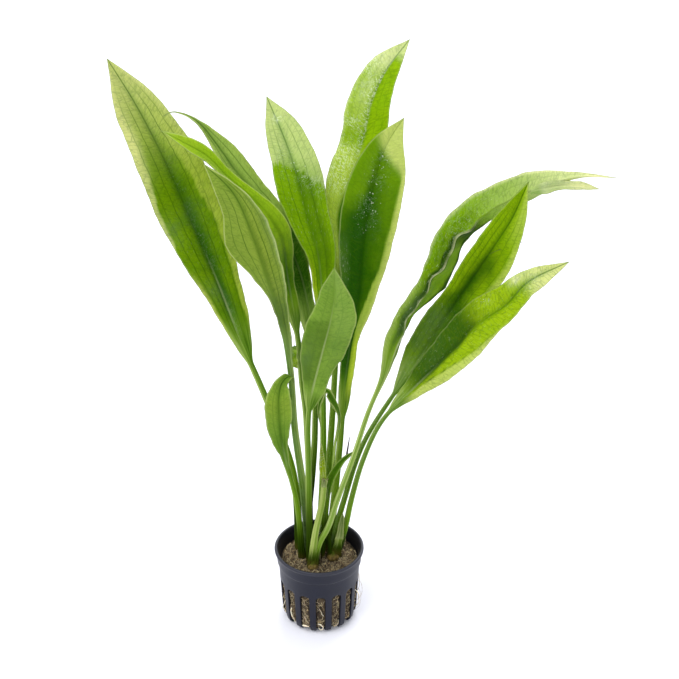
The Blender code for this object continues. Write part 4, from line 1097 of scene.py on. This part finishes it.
def pot_material():
    """Dark slate injection-moulded plastic: satin, finely grained, with scuffs."""
    sheet = Sheet("pot_plastic")
    place = sheet.place()
    grain = place.noise(0.35, 3.0, 0.6)
    cloud = place.noise(7.0, 3.0)
    dust = rise(place.noise(1.1, 4.0, 0.7), 0.60, 0.78)
    _, level, shaded_inside = sheet.parts("pot_place")
    colour = cloud.mix(seen(13, 15, 27), seen(22, 25, 41))
    colour = (dust * 0.10).mix(colour, seen(110, 102, 92))
    # Painted highlight along the lip
    colour = (rise(level, 43.4, 44.6) * 0.30).mix(colour, seen(60, 60, 66))
    # Painted shade on the inner wall
    colour = (shaded_inside * 0.75).mix(colour, seen(12, 12, 15))
    sheet.skin(colour, cloud * 0.18 + 0.34 + dust * 0.2, grain * 0.03 + cloud * 0.05, 0.7, 0.26)
    return sheet.material


def wool_material():
    """Brown fibrous growing wool, with painted shade where it lies sunk or by the wall and round the stems.
    """
    sheet = Sheet("growing_wool")
    place = sheet.place()
    patch = place.noise(4.0, 4.0, 0.6)
    thread = place.noise(0.5, 4.0, 0.7)
    depth, shade, _ = sheet.parts("wool_place")
    colour = rise(patch, 0.36, 0.64).mix(seen(50, 38, 24), seen(128, 108, 76))
    colour = (rise(thread, 0.50, 0.75) * 0.6).mix(colour, seen(178, 156, 112))
    colour = (rise(thread, 0.50, 0.36) * 0.85).mix(colour, seen(22, 17, 12))
    # Painted shade where the wool lies sunk or near the wall
    colour = (depth * 0.7).mix(colour, seen(34, 26, 19))
    colour = (rise(patch, 0.42, 0.30) * 0.8).mix(colour, seen(24, 18, 12))
    # Painted shade round the foot of the stems
    colour = (shade * 0.8).mix(colour, seen(40, 36, 18))
    sheet.skin(colour, 0.9, thread * 0.7 + place.cells(0.9) * 0.4, 0.9)
    return sheet.material


def thread_material(name, dark, light, roughness, glow=0.0):
    """Fibres, grains and roots: each carries its own shade between two colours."""
    sheet = Sheet(name)
    shade = sheet.parts("thread_shade")[0]
    speckle = sheet.place().noise(0.8, 3.0, 0.6)
    colour = rise(shade + (speckle - 0.5) * 0.5, 0.0, 1.0).mix(seen(*dark), seen(*light))
    sheet.skin(colour, roughness, speckle * 0.08, 0.6)
    if glow:
        sheet.shader.inputs["Subsurface Weight"].default_value = glow
        sheet.shader.inputs["Subsurface Radius"].default_value = (0.0010, 0.0006, 0.0003)
    return sheet.material


def crown_material():
    """Swollen plant base: green above, yellow brown and wrinkled below."""
    sheet = Sheet("crown_tissue")
    level, fold, climb = sheet.parts("thread_shade")
    stripes = joined(fold, climb).noise(1.0, 3.0, 0.6)
    patch = sheet.place().noise(1.7, 3.0, 0.6)
    colour = rise(patch, 0.3, 0.7).mix(seen(66, 54, 24), seen(128, 110, 56))
    colour = rise(level + patch * 0.5, 0.75, 1.1).mix(colour, seen(70, 84, 12))
    colour = (rise(stripes, 0.5, 0.3) * 0.6).mix(colour, seen(70, 52, 26))
    sheet.skin(colour, 0.7, stripes * 0.5 + patch, 0.9, 0.12)
    return sheet.material


def from_slot(angle):
    """Degrees from the middle of the nearest slot."""
    return (angle - FIRST_SLOT_ANGLE + PITCH_ANGLE / 2.0) % PITCH_ANGLE - PITCH_ANGLE / 2.0


def make_pot():
    """Net pot: one closed wall of fine facets with open slots; the edges of the slots and lip are rounded."""
    angles = []
    slot_column = []
    rib_half = PITCH_ANGLE / 2.0 - SLOT_HALF_ANGLE
    for slot in range(SLOT_COUNT):
        middle = FIRST_SLOT_ANGLE + slot * PITCH_ANGLE
        for step in range(SLOT_STEPS):
            angles.append(middle - SLOT_HALF_ANGLE + 2.0 * SLOT_HALF_ANGLE * step / SLOT_STEPS)
        for step in range(RIB_STEPS):
            angles.append(middle + SLOT_HALF_ANGLE + 2.0 * rib_half * step / RIB_STEPS)
        slot_column += [True] * SLOT_STEPS + [False] * RIB_STEPS
    rows = []
    slot_row = []
    for index, (first, second) in enumerate(zip(POT_ROWS[:-1], POT_ROWS[1:])):
        steps = max(1, round(math.hypot(second[0] - first[0], second[1] - first[1]) / ROW_STEP))
        for step in range(steps):
            rows.append([one + (two - one) * (step / steps) for one, two in zip(first, second)])
            slot_row.append(index in SLOT_ROWS)
    rows.append(POT_ROWS[-1])
    slot_row.append(False)
    columns = len(angles)
    count = len(rows)
    vertices = []
    carried = []
    arch_row = max(row for row in range(count) if slot_row[row]) + 1
    for wall in (0, 2):
        for index, row in enumerate(rows):
            for angle in angles:
                across = from_slot(angle) / SLOT_HALF_ANGLE
                arched = index == arch_row and abs(across) <= 1.01
                drop = SLOT_ARCH * (1.0 - math.sqrt(1.0 - min(1.0, across * across))) if arched else 0.0
                vertices.append(on_circle(row[wall], math.radians(angle), row[wall + 1] - drop))
                carried.append((0.0, row[wall + 1], wall / 2.0))
    inner = count * columns

    def solid(row, column):
        return not (slot_row[row] and slot_column[column % columns])

    faces = []
    for row in range(count - 1):
        for column in range(columns):
            if not solid(row, column):
                continue
            after = (column + 1) % columns
            a = row * columns + column
            b = row * columns + after
            c = b + columns
            d = a + columns
            faces.append((a, b, c, d))
            faces.append((inner + d, inner + c, inner + b, inner + a))
            if not solid(row, column - 1):
                faces.append((a, d, inner + d, inner + a))
            if not solid(row, column + 1):
                faces.append((b, inner + b, inner + c, c))
            if row > 0 and not solid(row - 1, column):
                faces.append((a, inner + a, inner + b, b))
            if row < count - 2 and not solid(row + 1, column):
                faces.append((d, c, inner + c, inner + d))
    top = (count - 1) * columns
    under = len(vertices)
    vertices += [(0.0, 0.0, rows[0][1] + FLOOR_RISE), (0.0, 0.0, rows[0][3])]
    carried += [(0.0, 0.0, 0.0), (0.0, 0.0, 1.0)]
    for column in range(columns):
        after = (column + 1) % columns
        faces.append((top + column, top + after, inner + top + after, inner + top + column))
        faces.append((under, after, column))
        faces.append((under + 1, inner + column, inner + after))
    points = {"pot_place": carried}
    pot = make_piece("net_pot", vertices, faces, pot_material(), ["pot"], points)
    bevel = pot.modifiers.new("rounded_edges", "BEVEL")
    bevel.width = POT_EDGE * MM
    bevel.segments = 2
    bevel.limit_method = "ANGLE"
    bevel.angle_limit = math.radians(POT_EDGE_ANGLE)
    bevel.use_clamp_overlap = True


def inner_radius(height):
    """Radius of the pot's inner wall at a height."""
    _, _, radii, heights = zip(*POT_ROWS[1:])
    return float(np.interp(height, heights, radii))


def bumps(size, x, y, z):
    """Smooth noise between about -1 and 1."""
    return noise.noise(Vector((x * size, y * size, z)))


def soil_top(x, y):
    """Top of the growing wool: a lump at the left, a rise at the front, and uneven all over."""
    rough = 1.9 * bumps(0.22, x, y, 3.1) + 1.6 * bumps(0.45, x, y, 7.7) + 0.6 * bumps(1.3, x, y, 1.3)
    gap = 1.0 + 1.5 * bumps(0.12, x, y, 5.0)
    rough -= 2.6 * gap * float(rise(math.hypot(x, y), 18.2, 20.8))
    rises = 0.0
    for rise_x, rise_y, height, spread in SOIL_RISES:
        rises += height * math.exp(-((x - rise_x) ** 2 + (y - rise_y) ** 2) / spread)
    return SOIL_TOP + 0.1 + rises + rough


def on_soil(radius, turn, above=0.0):
    x, y, _ = on_circle(radius, turn, 0.0)
    return (x, y, soil_top(x, y) + above)


def wool_radius(turn, height):
    """How far the wool reaches out: to the wall behind ribs, a little into the slots between them."""
    wall = inner_radius(height) - SOIL_GAP
    x, y, _ = on_circle(wall, turn, height)
    rough = 0.6 * bumps(0.4, x, y, height * 0.4) + 0.5 * bumps(1.1, x, y, height * 1.1)
    inside_slot = rise(abs(from_slot(math.degrees(turn))), SLOT_HALF_ANGLE - 0.6, SLOT_HALF_ANGLE - 2.6)
    opening = float(inside_slot * rise(height, 3.5, 6.0) * rise(height, 26.5, 24.5))
    hole = 0.0
    for angle, level, half_across, half_up, depth in WOOL_HOLES:
        away = (math.degrees(turn) - angle + 180.0) % 360.0 - 180.0
        hole += depth * math.exp(-(away / half_across) ** 2 - ((height - level) / half_up) ** 2)
    return wall + opening * (0.55 + 1.1 * rough) + (1.0 - opening) * min(0.0, 0.5 * rough) - hole


def make_wool():
    """Growing wool: its side in the pot, its uneven top, and the painted shade that each point takes."""
    turns = [2.0 * math.pi * column / WOOL_COLUMNS for column in range(WOOL_COLUMNS)]
    vertices = []
    for height in np.linspace(2.0, 38.0, WOOL_SIDE_STEPS):
        vertices += [on_circle(wool_radius(turn, height), turn, height) for turn in turns]
    for share in np.linspace(1.0, 0.02, WOOL_TOP_STEPS):
        radius = (inner_radius(SOIL_TOP) - SOIL_GAP - 0.3) * share
        vertices += [on_soil(radius, turn) for turn in turns]
    carried = []
    for x, y, height in vertices:
        radius = math.hypot(x, y)
        # Amounts of painted shade: sunk below the top, near the wall, set back from the wall, and near the
        # stems
        deep = 0.6 * rise(soil_top(x, y) - height, 0.0, 4.0) + 0.4 * rise(radius, 17.0, 21.0)
        if height < SOIL_TOP - 4.0:
            deep += 0.8 * rise(inner_radius(height) - SOIL_GAP - radius, 0.6, 2.2)
        carried.append((min(1.0, deep), rise(math.hypot(x - 1.0, y + 4.0), 15.0, 7.0), 0.0))
    faces = ring_grid_faces(WOOL_SIDE_STEPS + WOOL_TOP_STEPS, WOOL_COLUMNS)
    points = {"wool_place": carried}
    make_piece("growing_wool", vertices, faces, wool_material(), ["soil"], points)


def tube(points, radii, sides):
    """A closed thin tube along a short list of points."""
    points = np.asarray(points, float)
    along = unit(np.gradient(points, axis=0))
    guide = (0.0, 0.0, 1.0) if abs(along[0][2]) < 0.8 else (1.0, 0.0, 0.0)
    first = unit(np.cross(along, guide))
    second = np.cross(along, first)
    around = (2.0 * math.pi * np.arange(sides) / sides)[None, :, None]
    radii = np.broadcast_to(np.asarray(radii, float), (len(points),))
    ring = np.cos(around) * first[:, None, :] + np.sin(around) * second[:, None, :]
    vertices = points[:, None, :] + radii[:, None, None] * ring
    return vertices.reshape(-1, 3), ring_grid_faces(len(points), sides)


class Bundle:
    """Many small closed shapes joined in one mesh, each with its own shade."""

    def __init__(self):
        self.vertices = []
        self.faces = []
        self.shades = []

    def add(self, vertices, faces, shade):
        start = len(self.vertices)
        self.vertices.extend(np.asarray(vertices, float).tolist())
        self.faces.extend([tuple(start + corner for corner in face) for face in faces])
        self.shades.extend([(shade, 0.0, 0.0)] * len(vertices))

    def make(self, name, material, replaced=()):
        make_piece(name, self.vertices, self.faces, material, replaced, {"thread_shade": self.shades})


def curly(draw, start, heading, length, curl, steps=6):
    """Points of a fibre that starts at a place, heads one way and bends at random."""
    points = [np.asarray(start, float)]
    heading = np.asarray(heading, float)
    for _ in range(steps):
        heading = unit(heading + np.array([draw.gauss(0.0, curl) for _ in range(3)]))
        points.append(points[-1] + heading * length / steps)
    return points


def any_turn(draw):
    return draw.uniform(0.0, 2.0 * math.pi)


def slot_turn(draw, slot, spread=6.0):
    """A turn within some degrees of a slot's middle."""
    return math.radians(FIRST_SLOT_ANGLE + slot * PITCH_ANGLE + draw.uniform(-spread, spread))


def make_fibres():
    """Fibres that lie on the wool and hang in the slots, and grains among them."""
    draw = random.Random(11)
    straw = Bundle()
    dark = Bundle()
    for index in range(TOP_FIBRES):
        thick = index % THICK_FIBRE_EVERY == 0
        start = on_circle(TOP_REACH * math.sqrt(draw.random()), any_turn(draw), 0.0)
        way = any_turn(draw)
        length = draw.uniform(*TOP_FIBRE_LENGTH) * (LONG_FIBRE_MORE if thick else 1.0)
        flat = curly(draw, start, (math.cos(way), math.sin(way), 0.0), length, 0.5)
        raised = draw.uniform(0.0, 0.35) + 1.6 * draw.random() ** 6
        points = []
        for step, point in enumerate(flat):
            reach = math.hypot(point[0], point[1])
            if reach > TOP_LIMIT:
                point = point * TOP_LIMIT / reach
            arch = raised * math.sin(math.pi * step / (len(flat) - 1))
            points.append((point[0], point[1], soil_top(point[0], point[1]) + 0.05 + arch))
        shape = tube(points, (THICK_FIBRE_MORE if thick else 1.0) * draw.uniform(*TOP_FIBRE_RADIUS), 3)
        (straw if index % 3 else dark).add(*shape, draw.random())
    for index in range(SLOT_FIBRES):
        turn = slot_turn(draw, draw.randrange(SLOT_COUNT))
        height = draw.uniform(*SLOT_FIBRE_HEIGHT)
        length = draw.uniform(*SLOT_FIBRE_LENGTH)
        tilt = draw.gauss(0.0, 0.9)
        points = []
        for step in range(6):
            share = step / 5.0 - 0.5
            place_turn = turn + share * length * math.sin(tilt) / TOP_REACH + draw.gauss(0.0, 0.006)
            place_height = height + share * length * math.cos(tilt)
            reach = wool_radius(place_turn, np.clip(place_height, *SLOT_HEIGHT)) + 0.12
            points.append(on_circle(reach + draw.gauss(0.0, 0.05), place_turn, place_height))
        (straw if index % 2 else dark).add(*tube(points, draw.uniform(*SLOT_FIBRE_RADIUS), 3), draw.random())
    straw.make("wool_fibres_straw", thread_material("fibre_straw", (98, 80, 52), (200, 184, 142), 0.8))
    dark.make("wool_fibres_dark", thread_material("fibre_dark", (38, 28, 18), (104, 82, 54), 0.85))
    grains = Bundle()
    for index in range(GRAINS):
        if index % 3:
            middle = on_soil(TOP_REACH * math.sqrt(draw.random()), any_turn(draw), 0.1)
        else:
            turn = slot_turn(draw, draw.randrange(SLOT_COUNT), 5.5)
            height = draw.uniform(*GRAIN_HEIGHT)
            middle = on_circle(wool_radius(turn, height), turn, height)
        grains.add(*lump(draw, middle, draw.uniform(*GRAIN_SIZE)), draw.random() ** 1.5)
    grains.make("wool_grains", thread_material("grain", (56, 42, 28), (176, 152, 104), 0.8))


def lump(draw, middle, size):
    """A small irregular closed grain."""
    vertices = []
    wide, deep, tall = (size * draw.uniform(0.7, 1.3) for _ in range(3))
    for level in (-0.85, -0.3, 0.35, 0.88):
        for column in range(6):
            turn = 2.0 * math.pi * (column + 0.5 * level) / 6.0
            around = math.sqrt(1.0 - level * level) * draw.uniform(0.8, 1.15)
            vertices.append((middle[0] + wide * around * math.cos(turn),
                             middle[1] + deep * around * math.sin(turn), middle[2] + tall * level))
    return vertices, ring_grid_faces(4, 6)


def make_roots():
    """Cream roots in the slots, one that loops out, and fine root hairs."""
    draw = random.Random(23)
    roots = Bundle()
    shares = np.linspace(0.0, 1.0, ROOT_STEPS)
    for angle, points, radius in ROOT_PATHS:
        turn = math.radians(angle)
        guide = []
        for reach, height, shift in points:
            x, y, _ = on_circle(reach, turn, height)
            guide.append((x + shift * math.cos(turn), y + shift * math.sin(turn), height))
        middle, _, length = curve_through(guide, shares)
        swings = [wobble(shares * length, seed, (7.0, 3.1), (1.0, 0.5)) for seed in (1, 2, 3)]
        middle = middle + ROOT_SWING * np.stack(swings, axis=-1)
        roots.add(*tube(middle, radius * (1.0 - 0.45 * shares), 8), draw.uniform(0.45, 1.0))
    tissue = thread_material("root_tissue", (150, 124, 88), (226, 214, 186), 0.5, 0.25)
    roots.make("roots", tissue, ["root"])
    hairs = Bundle()
    for _ in range(ROOT_HAIRS):
        turn = slot_turn(draw, draw.choice(HAIRY_SLOTS))
        height = draw.choice((draw.uniform(3.5, 9.0), draw.uniform(3.5, 25.0)))
        start = on_circle(wool_radius(turn, height) - 0.1, turn, height)
        out_x, out_y, _ = on_circle(0.35, turn, height)
        out = unit((out_x + draw.gauss(0, 0.5), out_y + draw.gauss(0, 0.5), draw.gauss(-0.2, 0.8)))
        kept = []
        for x, y, z in curly(draw, start, out, draw.uniform(*HAIR_LENGTH), 0.35, 7):
            limit = max(wool_radius(math.atan2(x, -y), np.clip(z, *SLOT_HEIGHT)) + 0.15, HAIR_REACH)
            size = math.hypot(x, y)
            held = min(size, limit + 0.5) if size > limit else limit
            kept.append((x * held / size, y * held / size, max(z, 1.2)))
        hairs.add(*tube(kept, np.linspace(0.11, 0.04, len(kept)), 4), draw.uniform(0.3, 1.0))
    for points, radius, shade in LOOSE_HAIRS:
        middle = curve_through(points, np.linspace(0.0, 1.0, 16))[0]
        hairs.add(*tube(middle, np.linspace(radius, 0.5 * radius, 16), 4), shade)
    hairs.make("root_hairs", thread_material("root_hair", (120, 92, 60), (214, 196, 160), 0.6))


def make_crown(name, middle, radii, height):
    """Swollen plant base with upright folds and a wrinkled skin."""
    vertices = []
    carried = []
    for row in range(CROWN_ROWS):
        share = row / (CROWN_ROWS - 1)
        size = (0.50 + 0.5 * math.sin(math.pi * min(1.0, share * 1.25 + 0.12))) * (1.0 - 0.55 * share**3)
        for column in range(CROWN_COLUMNS):
            turn = 2.0 * math.pi * column / CROWN_COLUMNS
            x, y, _ = on_circle(1.0, turn, 0.0)
            rough = 0.10 * bumps(2.4, x, y, 2.0 * share + middle[0]) + 0.05 * bumps(7.0, x, y, 3.0 * share)
            reach = size * (1.0 + rough + CROWN_FOLD_DEPTH * math.sin(CROWN_FOLDS * turn + 2.0 * share))
            vertices.append((middle[0] + radii[0] * reach * x, middle[1] + radii[1] * reach * y,
                             SOIL_TOP - 0.4 + height * share))
            carried.append((share, CROWN_FOLDS * turn, 1.3 * share))
    faces = ring_grid_faces(CROWN_ROWS, CROWN_COLUMNS)
    make_piece(name, vertices, faces, crown_material(), [name], {"thread_shade": carried})


def make_small_bits():
    """Dark hair on a leaf, a spike between the stems, frayed tips and dry scraps round the stems."""
    draw = random.Random(31)
    bits = Bundle()
    shares = np.linspace(0.0, 1.0, 14)
    for points, radius, shade in BITS:
        bits.add(*tube(curve_through(points, shares)[0], radius * (1.0 - 0.7 * shares**2), 6), shade)
    for _ in range(FRAY_THREADS):
        shift = (draw.uniform(-1.6, 1.6), draw.uniform(-0.5, 0.5), draw.uniform(-1.2, 0.2))
        way = (draw.gauss(0, 0.3), draw.gauss(0, 0.3), 1.0)
        points = curly(draw, np.add(STUB_TOP, shift), way, draw.uniform(*FRAY_LENGTH), 0.35, 5)
        bits.add(*tube(points, np.linspace(0.16, 0.03, len(points)), 4), draw.uniform(0.3, 1.0))
    for _ in range(SCRAPS):
        turn = any_turn(draw)
        start = on_soil(draw.uniform(*SCRAP_RING), turn, 0.1)
        way = (draw.gauss(0, 1), draw.gauss(0, 1), 0.25)
        points = curly(draw, start, way, draw.uniform(*SCRAP_LENGTH), 0.4, 5)
        points = [(x, y, max(z, soil_top(x, y) + 0.15)) for x, y, z in points]
        bits.add(*tube(points, np.linspace(0.22, 0.08, len(points)), 4), draw.uniform(0.0, 0.8))
    bits.make("dry_bits", thread_material("dry_bits", (52, 40, 22), (176, 160, 112), 0.7))


def make_floor():
    mesh = bpy.data.meshes.new("floor")
    corners = [(-6.0, -4.0, 0.0), (6.0, -4.0, 0.0), (6.0, 8.0, 0.0), (-6.0, 8.0, 0.0)]
    mesh.from_pydata(corners, [], [(0, 1, 2, 3)])
    floor = bpy.data.objects.new("floor", mesh)
    bpy.context.scene.collection.objects.link(floor)
    material = bpy.data.materials.new("pale_floor")
    material.use_nodes = True
    shader = material.node_tree.nodes["Principled BSDF"]
    shader.inputs["Base Color"].default_value = FLOOR_COLOUR
    shader.inputs["Roughness"].default_value = 0.7
    shader.inputs["Specular IOR Level"].default_value = 0.1
    mesh.materials.append(material)


def make_lights():
    world = bpy.data.worlds.new("studio")
    world.use_nodes = True
    background = world.node_tree.nodes["Background"]
    background.inputs["Color"].default_value = WORLD_COLOUR
    background.inputs["Strength"].default_value = WORLD_STRENGTH
    bpy.context.scene.world = world
    for name, place, size, power in LIGHTS:
        lamp = bpy.data.lights.new(name, "AREA")
        lamp.shape = "DISK"
        lamp.size = size
        lamp.energy = power
        light = bpy.data.objects.new(name, lamp)
        light.location = place
        aim = Vector(LIGHT_AIM) - Vector(place)
        light.rotation_euler = aim.to_track_quat("-Z", "Y").to_euler()
        bpy.context.scene.collection.objects.link(light)


def make_camera():
    data = bpy.data.cameras.new("photo_camera")
    data.lens = CAMERA_LENS
    data.sensor_width = SENSOR_WIDTH
    data.clip_start = 0.01
    data.clip_end = 50.0
    camera = bpy.data.objects.new("photo_camera", data)
    camera.location = CAMERA_PLACE
    camera.rotation_euler = (math.radians(90.0 - CAMERA_PITCH), 0.0, 0.0)
    bpy.context.scene.collection.objects.link(camera)
    bpy.context.scene.camera = camera
    bpy.context.scene.view_settings.view_transform = "Standard"


def main():
    make_camera()
    make_lights()
    make_floor()
    make_pot()
    make_wool()
    make_fibres()
    make_roots()
    for name, crown in CROWNS.items():
        make_crown(name, **crown)
    materials = {}
    for name, leaf in LEAVES.items():
        looks = {**LOOKS, **leaf.get("looks", {})}
        materials[name] = leaf_material("blade_" + name, leaf["palette"], looks)
        make_leaf(name, leaf, materials[name])
    for name, flap in FLAPS.items():
        make_leaf(name, flap, materials[flap["of"]])
    make_small_bits()


main()
